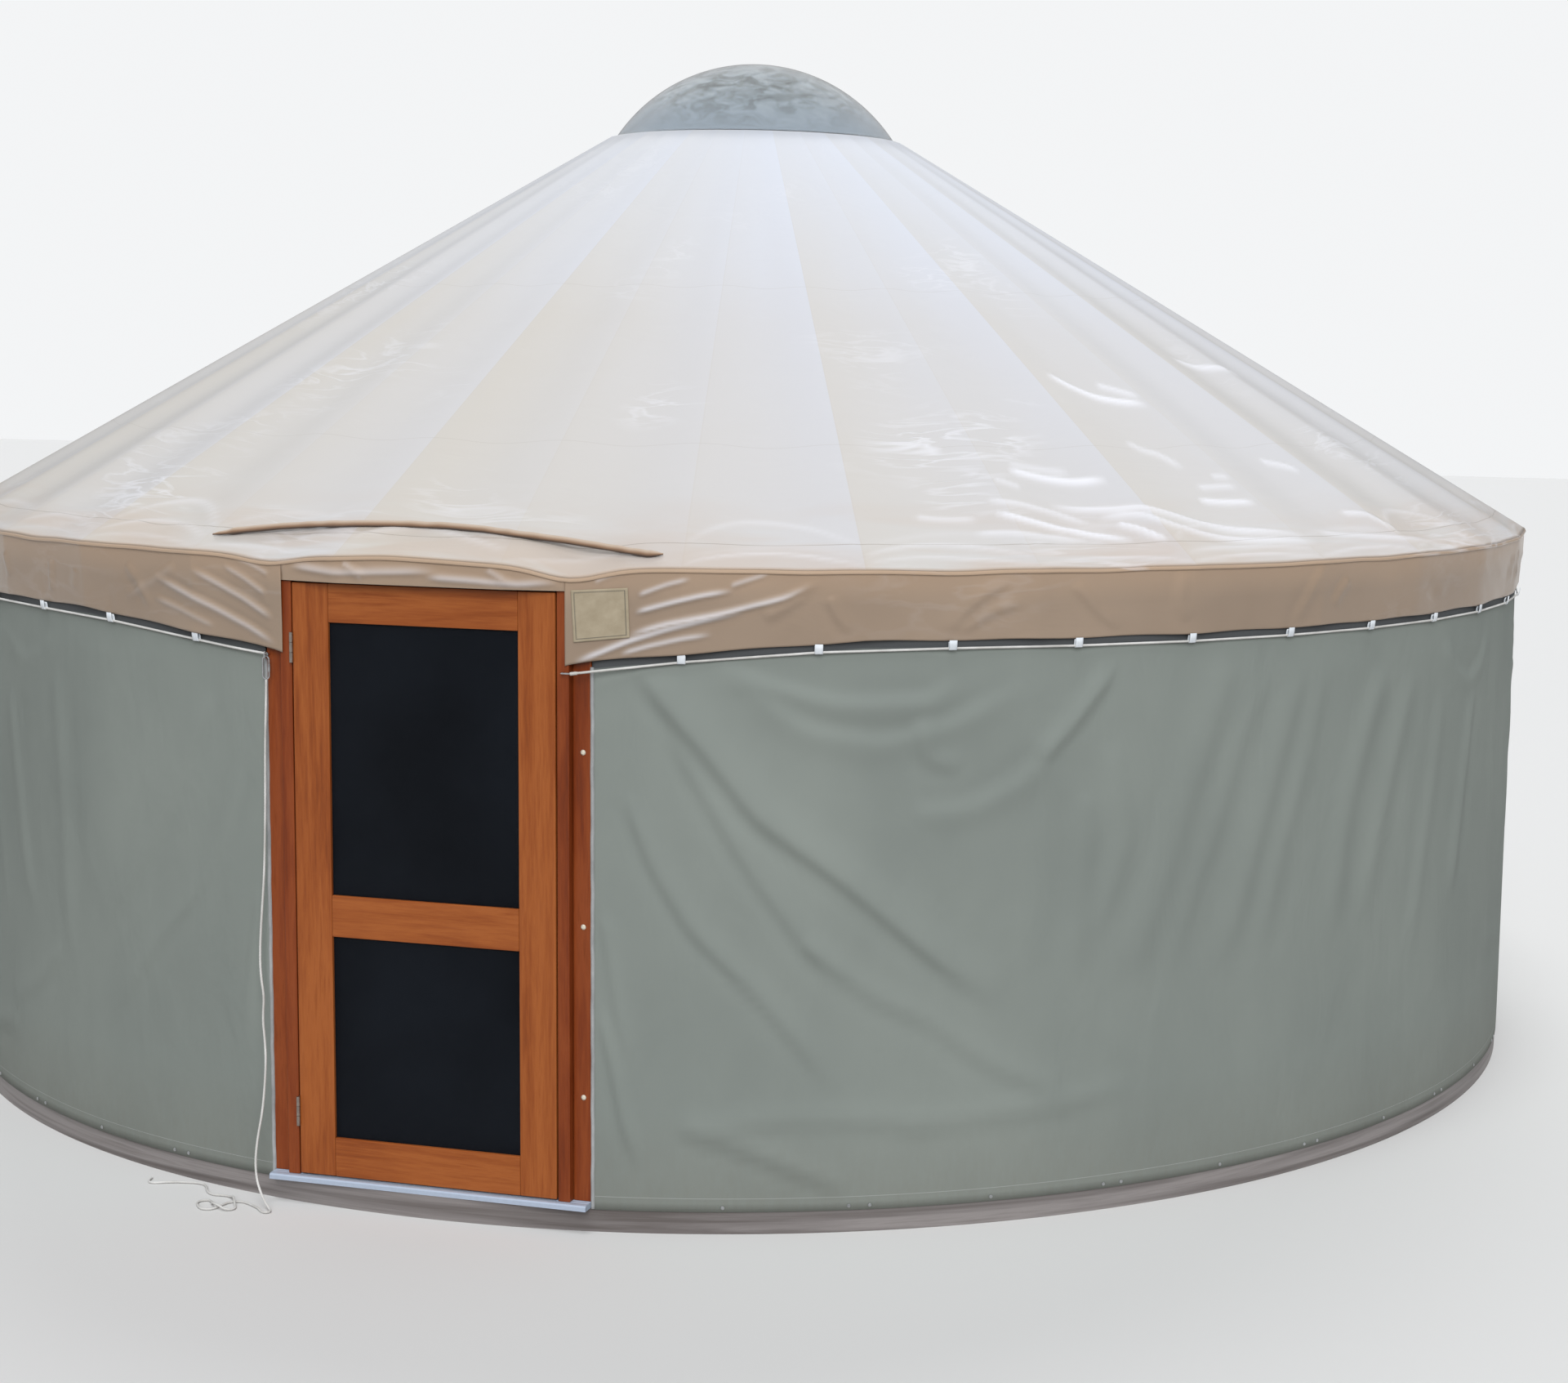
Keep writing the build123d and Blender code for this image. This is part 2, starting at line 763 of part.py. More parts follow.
hook_x = casing_outer - hook_inset
hook_height = valance_door_height - hook_drop
rope_end_x = casing_outer + rope_end_reach
rope_end_y = casing_front - hook_reach
eye_x = jamb_outer - eye_inset
eye_height = hook_height + eye_rise
eye_y = jamb_front - eye_shank - eye_radius
loop_bearings = [loop_spacing * k for k in range(2, int(360 / loop_spacing) - 1)]
eye_inner = eye_radius - eye_wire / 2
link_inner = link_width / 2 - link_wire
link_bow = link_inner - sqrt(link_inner**2 - (eye_wire / 2) ** 2)
link_top_z = eye_height - eye_inner * cos(pi / ring_sides) + link_bow + soft_gap + link_wire
tail_height = link_top_z + soft_gap + valance_rope_diameter / 2


def rope_height(bearing):
    return valance_foot(bearing)[1] - valance_rope_drop


rope_points = [(rope_end_x, rope_end_y, hook_height)]
rope_points += [at_bearing(b, valance_rope_radius, rope_height(b)) for b in loop_bearings]
rope_points += [(-eye_x, eye_y, tail_height)]
with BuildPart() as valance_rope:
    with BuildLine() as rope_path:
        Polyline(*rope_points)
    with BuildSketch(Plane(origin=rope_path.line @ 0, z_dir=rope_path.line % 0)):
        RegularPolygon(valance_rope_diameter / 2, cord_sides)
    sweep(transition=Transition.RIGHT)
    knot_x = -eye_x + link_width / 2 + knot_gap
    knot_plane = Plane(origin=(knot_x, eye_y, tail_height), z_dir=(1, 0, 0))
    with BuildSketch(knot_plane):
        RegularPolygon(valance_rope_diameter, cord_sides)
    extrude(amount=valance_rope_diameter)
    with BuildSketch(knot_plane):
        RegularPolygon(valance_rope_diameter / 2, cord_sides)
    extrude(amount=-eye_x - knot_x)
save(valance_rope.part, "valance_rope")

# Hook on the right jamb: a screwed shank bent sideways to the end of the rope

with BuildPart() as rope_hook:
    with BuildLine() as hook_path:
        FilletPolyline(
            (hook_x, casing_front, hook_height),
            (hook_x, rope_end_y, hook_height),
            (rope_end_x - hook_end_gap, rope_end_y, hook_height),
            radius=hook_wire,
        )
    with BuildSketch(Plane(origin=hook_path.line @ 0, z_dir=hook_path.line % 0)):
        RegularPolygon(hook_wire / 2, cord_sides)
    sweep()
save(rope_hook.part, "rope_hook")

# Screw eye on the left jamb: a shank with a ring that stands upright, square to the wall

with BuildPart() as screw_eye:
    with BuildSketch(Plane(origin=(-eye_x, jamb_front, eye_height), z_dir=(0, -1, 0))):
        RegularPolygon(eye_wire / 2, cord_sides)
    extrude(amount=eye_shank + eye_wire / 2)
    with BuildSketch(Plane(origin=(-eye_x, eye_y, eye_height), z_dir=(1, 0, 0))):
        RegularPolygon(eye_radius + eye_wire / 2, ring_sides)
        RegularPolygon(eye_inner, ring_sides, mode=Mode.SUBTRACT)
    extrude(amount=eye_wire / 2, both=True)
save(screw_eye.part, "screw_eye")

# Snap link: an oval of square wire that hangs in the screw eye

link_center = Vector(-eye_x, eye_y, link_top_z - link_length / 2)
with BuildPart() as snap_link:
    with BuildSketch(Plane(origin=link_center, x_dir=(0, 0, 1), z_dir=(0, 1, 0))):
        SlotOverall(link_length, link_width)
        SlotOverall(link_length - 2 * link_wire, link_width - 2 * link_wire, mode=Mode.SUBTRACT)
    extrude(amount=link_wire / 2, both=True)
save(snap_link.part, "snap_link")

# Free end of rope: hangs from the link and lies on the ground beside the sill

free_rope_route = (
    (-564, -3279, 1767),
    (-566, -3280, 1690),
    (-570, -3281, 1590),
    (-571.5, -3283, 1475),
    (-572, -3285, 1360),
    (-574.5, -3287, 1245),
    (-577.5, -3289, 1130),
    (-584.5, -3291.5, 1030),
    (-591, -3295, 930),
    (-594, -3299, 835),
    (-589, -3302, 765),
    (-577, -3305.5, 705),
    (-581, -3311, 630),
    (-571, -3316, 560),
    (-565.5, -3322, 490),
    (-567.5, -3329, 405),
    (-574, -3336, 318),
    (-588, -3344, 236),
    (-594, -3353, 158),
    (-585, -3363, 96),
    (-563, -3374, 52),
    (-543, -3382, 25),
    (-528, -3388, 10),
    (-517, -3396, 4.3),
    (-511, -3408, 4.3),
    (-519, -3420, 4.3),
    (-534, -3419, 4.3),
    (-549, -3406, 4.3),
    (-570, -3385, 4.3),
    (-607, -3363, 4.3),
    (-640, -3346, 4.3),
    (-668, -3347, 4.3),
    (-690, -3364, 4.3),
    (-697, -3392, 4.3),
    (-700, -3424, 4.3),
    (-712, -3446, 4.3),
    (-735, -3452, 4.3),
    (-758, -3438, 4.3),
    (-776, -3418, 4.3),
    (-790, -3398, 4.3),
    (-786, -3374, 4.3),
    (-765, -3363, 4.3),
    (-745, -3377, 4.6),
    (-733, -3398, 9),
    (-719, -3415, 16),
    (-686, -3433, 16),
    (-662, -3438, 8),
    (-645, -3430, 4.3),
    (-638, -3412, 4.3),
    (-648, -3393, 4.5),
    (-660, -3378, 9),
    (-669, -3364, 16),
    (-688, -3338, 16),
    (-702, -3321, 8),
    (-720, -3308, 4.3),
    (-747, -3304, 4.3),
    (-776, -3310, 4.3),
    (-803, -3298, 4.3),
    (-826, -3273, 4.3),
    (-845, -3243, 4.3),
    (-867, -3221, 4.3),
    (-896, -3214, 4.3),
    (-935, -3220, 4.3),
    (-975, -3229, 4.3),
    (-1010, -3244, 4.3),
    (-1036, -3259, 4.3),
    (-1060, -3255, 4.3),
    (-1071, -3235, 4.3),
    (-1073, -3212, 4.3),
)


def corner_radius(before, corner, after):
    """Largest tidy arc for a corner of the route: most of the shorter run."""
    first, second = Vector(*corner) - Vector(*before), Vector(*after) - Vector(*corner)
    half_turn = radians(first.get_angle(second) / 2)
    return 0.45 * min(first.length, second.length) / tan(half_turn)


route_triples = zip(free_rope_route, free_rope_route[1:], free_rope_route[2:])
free_rope_radii = [corner_radius(*triple) for triple in route_triples]
with BuildPart() as free_rope:
    with BuildLine() as free_rope_path:
        FilletPolyline(*free_rope_route, radius=free_rope_radii)
    with BuildSketch(
        Plane(origin=free_rope_path.line @ 0, z_dir=free_rope_path.line % 0)
    ):
        RegularPolygon(rope_diameter / 2, cord_sides)
    sweep()
save(free_rope.part, "free_rope")

free_length = sum(edge.length for edge in free_rope_path.edges())
rope_section = cord_sides / 2 * (rope_diameter / 2) ** 2 * sin(2 * pi / cord_sides)
expected = rope_section * free_length
print("rope length", round(free_length), "volume share", round(free_rope.part.volume / expected, 4))
print("plate height", plate_height, "ring top", round(ring_top, 1))
print("lath crossing", round(crossing_height, 1), "row", round(row_height, 1))
print("seat radius", round(seat_radius, 1), "facet width", round(facet_width, 1))
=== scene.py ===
from math import cos, pi, radians, sin

import bpy
import numpy as np
from mathutils import Matrix, Vector


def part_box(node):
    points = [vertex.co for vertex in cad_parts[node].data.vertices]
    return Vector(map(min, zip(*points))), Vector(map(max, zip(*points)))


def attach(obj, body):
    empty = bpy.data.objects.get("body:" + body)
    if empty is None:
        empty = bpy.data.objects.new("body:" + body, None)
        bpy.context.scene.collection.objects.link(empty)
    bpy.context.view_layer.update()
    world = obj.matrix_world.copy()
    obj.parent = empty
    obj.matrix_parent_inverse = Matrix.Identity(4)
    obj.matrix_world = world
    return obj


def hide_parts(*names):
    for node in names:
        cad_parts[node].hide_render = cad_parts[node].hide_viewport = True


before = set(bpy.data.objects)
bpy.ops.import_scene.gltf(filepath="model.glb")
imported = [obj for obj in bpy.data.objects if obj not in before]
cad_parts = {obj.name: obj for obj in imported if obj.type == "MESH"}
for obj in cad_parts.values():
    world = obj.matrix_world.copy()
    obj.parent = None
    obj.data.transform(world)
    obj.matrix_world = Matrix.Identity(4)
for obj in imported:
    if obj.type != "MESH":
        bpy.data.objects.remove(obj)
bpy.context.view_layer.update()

# Fabric yurt, in metres. The door faces -Y. A bearing is the angle from the door towards +X, in degrees.
house, door = "yurt", "screen_door"


# Helpers for meshes

def rgb(red, green, blue):
    # A colour picked as 0 to 255, turned into the linear light that shaders want
    share = np.array([red, green, blue]) / 255
    linear = np.where(share <= 0.04045, share / 12.92, ((share + 0.055) / 1.055) ** 2.4)
    return (*linear.tolist(), 1.0)


def together(*values):
    # Arrays or numbers of matching shapes as the coordinates of one array of points
    return np.stack(np.broadcast_arrays(*values), axis=-1)


def fullTurn(sides):
    # Evenly spaced angles once round, without the last, which would be the first again
    return np.linspace(0, 2 * pi, sides, endpoint=False)


def unit(vectors):
    # The same directions, each of length 1
    return vectors / np.linalg.norm(vectors, axis=-1, keepdims=True)


def lengthAlong(path):
    # Distance from the start of a path to each of its points
    return np.concatenate([[0], np.cumsum(np.linalg.norm(np.diff(path, axis=0), axis=1))])


def gridQuads(rows, columns, closeRows=False, closeColumns=False, flip=False):
    # Quads between neighbours of a grid of points stored row by row; a closed direction wraps round
    i, j = np.meshgrid(
        np.arange(rows if closeRows else rows - 1),
        np.arange(columns if closeColumns else columns - 1),
        indexing="ij",
    )
    i, j = i.ravel(), j.ravel()
    up, along = (i + 1) % rows, (j + 1) % columns
    quads = together(i * columns + j, i * columns + along, up * columns + along, up * columns + j)
    return quads[:, ::-1] if flip else quads


def cappedRings(rings, sides, flip=False):
    # Quads round a row of rings, and a flat face over each end
    last = (rings - 1) * sides
    caps = [list(range(sides))[::-1], list(range(last, last + sides))]
    if flip:
        caps = [cap[::-1] for cap in caps]
    return gridQuads(rings, sides, closeColumns=True, flip=flip).tolist() + caps


def addObject(name, data):
    # An object at the origin, in the scene
    made = bpy.data.objects.new(name, data)
    bpy.context.scene.collection.objects.link(made)
    return made


def makePiece(
    name, points, faces, body, material, uv=None, stands=(), glint=None, wrap=(0, 0), smooth=True
):
    # Whole arrays of points and faces become one object at the origin, riding on a body, in
    # the place of the CAD nodes that it stands for; glint is how much painted highlight each
    # point gets on the crest of a crease, and wrap is the step in uv after one whole turn, which
    # keeps the corners of one face together
    points = np.asarray(points, float).reshape(-1, 3)
    faces = faces.tolist() if isinstance(faces, np.ndarray) else faces
    mesh = bpy.data.meshes.new(name)
    mesh.from_pydata(points.tolist(), [], faces)
    if uv is not None:
        corner = np.zeros(len(mesh.loops), np.int32)
        mesh.loops.foreach_get("vertex_index", corner)
        corners = np.asarray(uv, np.float32).reshape(-1, 2)[corner]
        start, total = np.zeros((2, len(mesh.polygons)), np.int32)
        mesh.polygons.foreach_get("loop_start", start)
        mesh.polygons.foreach_get("loop_total", total)
        first = np.repeat(corners[start], total, axis=0)
        for axis, step in enumerate(wrap):
            if step:
                corners[:, axis] += np.round((first - corners)[:, axis] / step) * step
        mesh.uv_layers.new(name="UVMap").data.foreach_set("uv", corners.ravel())
    if glint is not None:
        values = np.ravel(glint).astype(np.float32)
        mesh.attributes.new("glint", "FLOAT", "POINT").data.foreach_set("value", values)
    mesh.polygons.foreach_set("use_smooth", [smooth] * len(mesh.polygons))
    mesh.materials.append(material)
    mesh.validate()
    mesh.update()
    piece = addObject(name, mesh)
    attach(piece, body)
    if stands:
        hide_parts(*stands)
    return piece


def thicken(piece, thickness, offset=-1):
    # The cloth's grid is its outer face, and its thickness grows inwards from there, or with
    # an offset of 0 it is its middle
    solid = piece.modifiers.new("Thickness", "SOLIDIFY")
    solid.thickness, solid.offset = thickness, offset


def placed(points, faces, turns):
    # Copies of a small mesh, one for each 4 x 4 matrix in turns
    return [(points @ turn[:3, :3].T + turn[:3, 3], faces) for turn in turns]


def around(bearing, radius, height):
    # The point at a bearing, a distance from the axis and a height; whole arrays are fine
    angle = np.radians(bearing)
    return together(radius * np.sin(angle), -radius * np.cos(angle), height)


def facingTurns(bearings, radius, height):
    # Matrices that carry x along the wall, y outwards and z up to places round the wall
    angle = np.radians(bearings)
    turns = np.zeros((len(angle), 4, 4))
    turns[:, 0, 0], turns[:, 1, 0] = -np.cos(angle), -np.sin(angle)
    turns[:, 0, 1], turns[:, 1, 1] = np.sin(angle), -np.cos(angle)
    turns[:, 2, 2] = turns[:, 3, 3] = 1
    turns[:, :3, 3] = around(bearings, radius, height)
    return turns


def tube(path, radius, sides, normal, closed=False):
    # A circle carried along a path: each ring is spanned by the fixed normal and by
    # the path's direction crossed with it, so the path lies roughly square to the normal
    path = np.asarray(path, float)
    ahead = np.roll(path, -1, axis=0) - np.roll(path, 1, axis=0)
    if not closed:
        ahead[0], ahead[-1] = path[1] - path[0], path[-1] - path[-2]
    ahead = unit(ahead)
    side = unit(np.cross(ahead, normal))
    upper = np.cross(side, ahead)
    turn = fullTurn(sides)
    radius = np.broadcast_to(np.asarray(radius, float), (len(path),))[:, None, None]
    ring = np.cos(turn)[None, :, None] * side[:, None] + np.sin(turn)[None, :, None] * upper[:, None]
    points = (path[:, None] + radius * ring).reshape(-1, 3)
    if closed:
        faces = gridQuads(len(path), sides, True, True, True).tolist()
    else:
        faces = cappedRings(len(path), sides, flip=True)
    return points, faces, together(lengthAlong(path)[:, None], turn[None] / (2 * pi))


def roundedOutline(corners, inset, bow, steps=4):
    # Each corner of a closed outline, pushed in by inset, gives way to a short parabola
    # from bow before it to bow after it
    corners = np.asarray(corners, float)
    before = unit(corners - np.roll(corners, 1, axis=0))
    after = unit(np.roll(corners, -1, axis=0) - corners)
    inA, inB = (together(-edge[:, 1], edge[:, 0]) for edge in (before, after))
    corners = corners + inset * (inA + inB) / (1 + (inA * inB).sum(1, keepdims=True))
    t = np.linspace(0, 1, steps + 1)[None, :, None]
    start, end = (corners - bow * before)[:, None], (corners + bow * after)[:, None]
    curve = (1 - t) ** 2 * start + 2 * t * (1 - t) * corners[:, None] + t**2 * end
    return curve.reshape(-1, 2)


def board(outline, low, high, axis, bevel=0.003):
    # A rounded outline carried along an axis, drawn in over the last few millimetres of each end
    ease = np.array([0, 0.3, 0.7, 1])
    shrink = 1 - np.sqrt(1 - (1 - ease) ** 2)
    insets = np.concatenate([shrink, shrink[::-1]])
    heights = np.concatenate([low + bevel * ease, (high - bevel * ease)[::-1]])
    rings = np.stack([roundedOutline(outline, bevel * inset, bevel) for inset in insets])
    heights = np.broadcast_to(heights[:, None, None], (*rings.shape[:2], 1))
    points = np.roll(np.concatenate([rings, heights], axis=2), axis + 1, axis=2)
    return points.reshape(-1, 3), cappedRings(*rings.shape[:2])


def joined(name, parts, body, material, stands=(), even=True):
    # Several (points, faces) pairs in one mesh, or such pairs with their uv
    points, faces, first = [], [], 0
    for part in parts:
        points.append(np.asarray(part[0], float).reshape(-1, 3))
        faces += [[index + first for index in face] for face in part[1]]
        first += len(points[-1])
    uv = np.concatenate([part[2].reshape(-1, 2) for part in parts]) if len(parts[0]) > 2 else None
    piece = makePiece(name, np.concatenate(points), faces, body, material, uv, stands)
    if even:
        piece.modifiers.new("Even shading", "WEIGHTED_NORMAL")
    return piece


def lathe(profile, sides, centre=(0, 0, 0), axis=2):
    # An outline of (distance, height) pairs carried round a line along an axis through a
    # centre, with a flat face over each end
    turn = fullTurn(sides)
    distance, height = np.asarray(profile, float).T[:, :, None]
    rings = together(distance * np.cos(turn), distance * np.sin(turn), height)
    points = np.roll(rings, axis + 1, axis=2).reshape(-1, 3) + np.asarray(centre, float)
    return points, cappedRings(len(profile), sides)


def softWaves(across, along, seed, count, slant):
    # A sum of sines whose directions, lengths and phases come from a seeded draw
    draw = np.random.default_rng(seed)
    rates = draw.uniform(0.6, 2.4, count)
    lean = draw.normal(slant, 0.35, count)
    phase = draw.uniform(0, 2 * pi, count)
    total = np.zeros(np.broadcast(across, along).shape)
    for rate, tilt, start in zip(rates, lean, phase):
        total = total + np.sin(rate * (across * np.cos(tilt) + along * np.sin(tilt)) + start)
    return total / count**0.5


def rectangle(lowA, highA, lowB, highB):
    # The four corners, counter-clockwise
    return [(lowA, lowB), (highA, lowB), (highA, highB), (lowA, highB)]


# Helpers for materials

def newMaterial(name, **sockets):
    # A material with its own shader; sockets are the values that are the same all over
    material = bpy.data.materials.new(name)
    material.use_nodes = True
    shader = material.node_tree.nodes["Principled BSDF"]
    for key, value in sockets.items():
        shader.inputs[key.replace("_", " ")].default_value = value
    return material, material.node_tree, shader


def node(tree, kind, inputs, **settings):
    # One node: inputs maps a socket's name or number to a value or to another node's output
    made = tree.nodes.new("ShaderNode" + kind)
    for key, value in settings.items():
        setattr(made, key, value)
    for key, value in inputs.items():
        if isinstance(value, bpy.types.NodeSocket):
            tree.links.new(value, made.inputs[key])
        else:
            made.inputs[key].default_value = value
    return made


def maths(operation, *values):
    # The tree is the one that the first socket among the values belongs to
    tree = next(value.id_data for value in values if isinstance(value, bpy.types.NodeSocket))
    return node(tree, "Math", dict(enumerate(values)), operation=operation).outputs[0]


def product(first, second):
    # first x second; the three functions below do the same for +, - and a sine wave
    return maths("MULTIPLY", first, second)


def summed(first, second):
    return maths("ADD", first, second)


def less(first, second):
    return maths("SUBTRACT", first, second)


def stripes(value, rate):
    return maths("SINE", product(value, rate))


def mapped(value, low, high, first=0.0, last=1.0):
    # A value that goes from low to high becomes one that goes from first to last, and stops there
    return node(value.id_data, "MapRange", {0: value, 1: low, 2: high, 3: first, 4: last}).outputs[0]


def split(coords):
    # The x, y and z outputs of a vector
    outputs = node(coords.id_data, "SeparateXYZ", {0: coords}).outputs
    return [outputs[key] for key in "XYZ"]


def feed(shader, **sockets):
    # Outputs of nodes go to the shader's sockets of the same names
    for key, value in sockets.items():
        shader.id_data.links.new(value, shader.inputs[key.replace("_", " ")])


def objectCoords(tree, scale=(1, 1, 1), place=(0, 0, 0)):
    # Metres on the piece, times a scale for each axis, moved to a place in the pattern
    coords = tree.nodes.new("ShaderNodeTexCoord").outputs["Object"]
    return node(tree, "Mapping", {"Vector": coords, "Scale": scale, "Location": place}).outputs[0]


def uvCoords(tree, scale=(1, 1, 1)):
    # Metres along and across the cloth or cord, times a scale for each
    coords = tree.nodes.new("ShaderNodeTexCoord").outputs["UV"]
    return node(tree, "Mapping", {"Vector": coords, "Scale": scale}).outputs[0]


def noise(coords, detail=3, roughness=0.5, distortion=0, scale=1.0):
    inputs = {"Vector": coords, "Scale": scale, "Detail": detail}
    inputs.update({"Roughness": roughness, "Distortion": distortion})
    return node(coords.id_data, "TexNoise", inputs).outputs[0]


def clothNoise(tree, across, along, *settings):
    # Noise on the cloth, so many spots to a metre across and along it
    return noise(uvCoords(tree, (across, along, 1)), *settings)


def solidNoise(tree, size, *settings):
    # Noise through the piece, so many spots to a metre, or so many for each axis
    return noise(objectCoords(tree, size if hasattr(size, "__len__") else (size,) * 3), *settings)


def ramp(factor, stops):
    # Colours or greys between stops given as (place, colour)
    made = node(factor.id_data, "ValToRGB", {0: factor})
    elements = made.color_ramp.elements
    while len(elements) < len(stops):
        elements.new(0.5)
    for element, (place, colour) in zip(elements, stops):
        element.position = place
        element.color = colour if hasattr(colour, "__len__") else (colour, colour, colour, 1)
    return made.outputs[0]


def blend(factor, first, second):
    # The first colour at a factor of 0, the second at 1
    inputs = {"Factor": factor, 6: first, 7: second}
    return node(factor.id_data, "Mix", inputs, data_type="RGBA").outputs[2]


def bump(shader, height, strength, distance, after=None):
    # Relief on the shader, on top of the relief that came before it
    inputs = {"Height": height, "Strength": strength, "Distance": distance}
    if after is not None:
        inputs["Normal"] = after
    made = node(shader.id_data, "Bump", inputs).outputs[0]
    feed(shader, Normal=made)
    return made


def line(value, centre, half):
    # 1 within half of a centre value, 0 outside, for seams and stitch lines
    return maths("LESS_THAN", maths("ABSOLUTE", less(value, centre)), half)


# Camera, first because the free rope is judged from it

cameraView = {
    "place": (3.687, -10.787, 2.835),
    "yaw": -0.2613,
    "pitch": -0.1257,
    "roll": 0.0153,
    "focalPixels": 3134.93,
    "imageWidth": 1920,
    "imageHeight": 1693,
    "opticalCentre": (1132.95, 839.78),
    "sensor": 36.0,
}


def makeCamera(view):
    # Axes from yaw and pitch, then a roll in the image plane
    yaw, pitch, roll = view["yaw"], view["pitch"], view["roll"]
    ahead = np.array([sin(yaw) * cos(pitch), cos(yaw) * cos(pitch), sin(pitch)])
    right = np.array([cos(yaw), -sin(yaw), 0])
    up = np.cross(right, ahead)
    axes = np.stack([right * cos(roll) + up * sin(roll), up * cos(roll) - right * sin(roll), -ahead])
    lens = bpy.data.cameras.new("photoCamera")
    lens.sensor_width = view["sensor"]
    lens.lens = view["focalPixels"] * view["sensor"] / view["imageWidth"]
    lens.shift_x = (view["imageWidth"] / 2 - view["opticalCentre"][0]) / view["imageWidth"]
    lens.shift_y = (view["opticalCentre"][1] - view["imageHeight"] / 2) / view["imageWidth"]
    lens.clip_end = 200
    camera = addObject("photoCamera", lens)
    matrix = np.eye(4)
    matrix[:3, :3], matrix[:3, 3] = axes.T, view["place"]
    camera.matrix_world = Matrix(matrix.tolist())
    bpy.context.scene.camera = camera


makeCamera(cameraView)
print("camera ready")


# Fabrics, timber, metal, cord and clear plastic

def wallFabric():
    # Matt coated canvas: faint cloudy tone, a fine weave, a stitched hem line and a painted shadow under the
    # valance
    material, tree, shader = newMaterial("wallFabric", Roughness=0.78, Specular_IOR_Level=0.3)
    along, height, _ = split(uvCoords(tree))
    clouds = clothNoise(tree, 0.9, 0.55, 4, 0.55)
    tone = ramp(clouds, [(0.3, rgb(126, 133, 129)), (0.7, rgb(140, 147, 142))])
    dust = product(ramp(height, [(0.08, 1), (0.42, 0)]), clothNoise(tree, 40, 12, 5, 0.7))
    tone = blend(product(dust, 0.5), tone, rgb(120, 116, 106))
    dash = maths("GREATER_THAN", stripes(along, 1250), -0.3)  # a stitch every 5 mm
    stitch = product(line(height, 0.121, 0.0009), dash)
    tone = blend(stitch, tone, rgb(176, 180, 178))
    # A painted shadow on the wall under the valance, down to its rope, where the valance shades it; the
    # valance's edge rises beside the door
    rise = product(maths("POWER", mapped(along, 0.497, 1.443), 0.75), 0.089)
    below = less(summed(rise, 1.861), height)
    upper, lower = mapped(below, -0.030, -0.015), mapped(below, 0.020, 0.030, 0.85, 0.0)
    tone = blend(product(upper, lower), tone, rgb(66, 67, 72))
    feed(shader, Base_Color=tone)
    weave = product(stripes(along, 5200), stripes(height, 5200))  # a thread every 1.2 mm
    first = bump(shader, weave, 0.25, 0.0002)
    bump(shader, clothNoise(tree, 5, 2.2, 3, 0.5, 0.6), 0.35, 0.02, first)
    return material


# How the cloth looks on the slope and where it hangs: weight of its coat; size and twist of the
# pattern of its creases; size of the places with creases and where their noise starts and ends;
# how strong the creases' painted highlight is and how deep they are; size of the soft dents
slopeCloth = {
    "coat": 0.5, "creases": (1.3, 13.0), "twist": 0.6, "places": (0.5, 1.3), "from": 0.54, "to": 0.7,
    "pale": 0.6, "deep": 0.5, "dents": (0.9, 5.0),
}
hangingCloth = {
    "coat": 0.22, "creases": (3.2, 9.0), "twist": 0.35, "places": (0.9, 2.0), "from": 0.5, "to": 0.66,
    "pale": 0.08, "deep": 0.15, "dents": (2.5, 5.0),
}


def hangingTone(down, clouds):
    # Brownish, and paler just under the eave
    tone = ramp(clouds, [(0.3, rgb(144, 126, 109)), (0.7, rgb(162, 143, 125))])
    return blend(mapped(down, 0.0, 0.11, 0.65, 0.0), tone, rgb(180, 154, 130))


def slopeTone(tree, across, down, clouds):
    # Pale under a painted sheen of the sky: each gore a little colder and lighter towards one side
    # as painted sheen, paler and bluer at the top as a painted reflection of the sky, and browner
    # at the eave, where the painted sheen gives way to the cloth's own tan and to painted shade in
    # its wrinkles; with seams down it and faint wavy rings round it
    # Painted sheen: warm to colder and lighter across each gore, every other gore a little colder, with a
    # cloudy tone
    share = maths("FRACT", across)
    even = maths("MODULO", maths("FLOOR", across), 2.0)
    factor = summed(product(share, 0.38), product(even, 0.22))
    factor = summed(factor, product(clouds, 0.35))
    tone = blend(factor, rgb(198, 194, 188), rgb(203, 207, 219))
    # Painted reflection of the sky, paler and bluer towards the top
    tone = blend(mapped(down, 0.0, 1.6, 0.6, 0.0), tone, rgb(214, 221, 234))
    seam = maths("LESS_THAN", share, 0.010)
    tone = blend(product(seam, 0.2), tone, rgb(190, 185, 180))
    # Less painted sheen lower down: creamier, browner in patches near the eave as painted shade of its
    # wrinkles, and tan on the roll over the eave
    tone = blend(mapped(down, 1.2, 3.1, 0.0, 0.4), tone, rgb(194, 188, 179))
    patches = mapped(clothNoise(tree, 0.7, 5.0, 3, 0.5, 0.8), 0.38, 0.62)
    edge = product(mapped(down, 2.75, 3.22, 0.0, 0.55), patches)
    tone = blend(edge, tone, rgb(186, 160, 136))
    tone = blend(mapped(down, 3.160, 3.181), tone, rgb(178, 154, 131))
    sway = less(clothNoise(tree, 0.9, 0.6, 2, 0.5), 0.5)
    wavy = summed(down, product(sway, 0.012))
    for distance, half, strength in ((1.35, 0.002, 0.15), (2.44, 0.002, 0.15), (3.035, 0.0018, 0.6)):
        ring = line(wavy, distance, half)
        tone = blend(product(ring, strength), tone, rgb(140, 128, 116))
    return tone


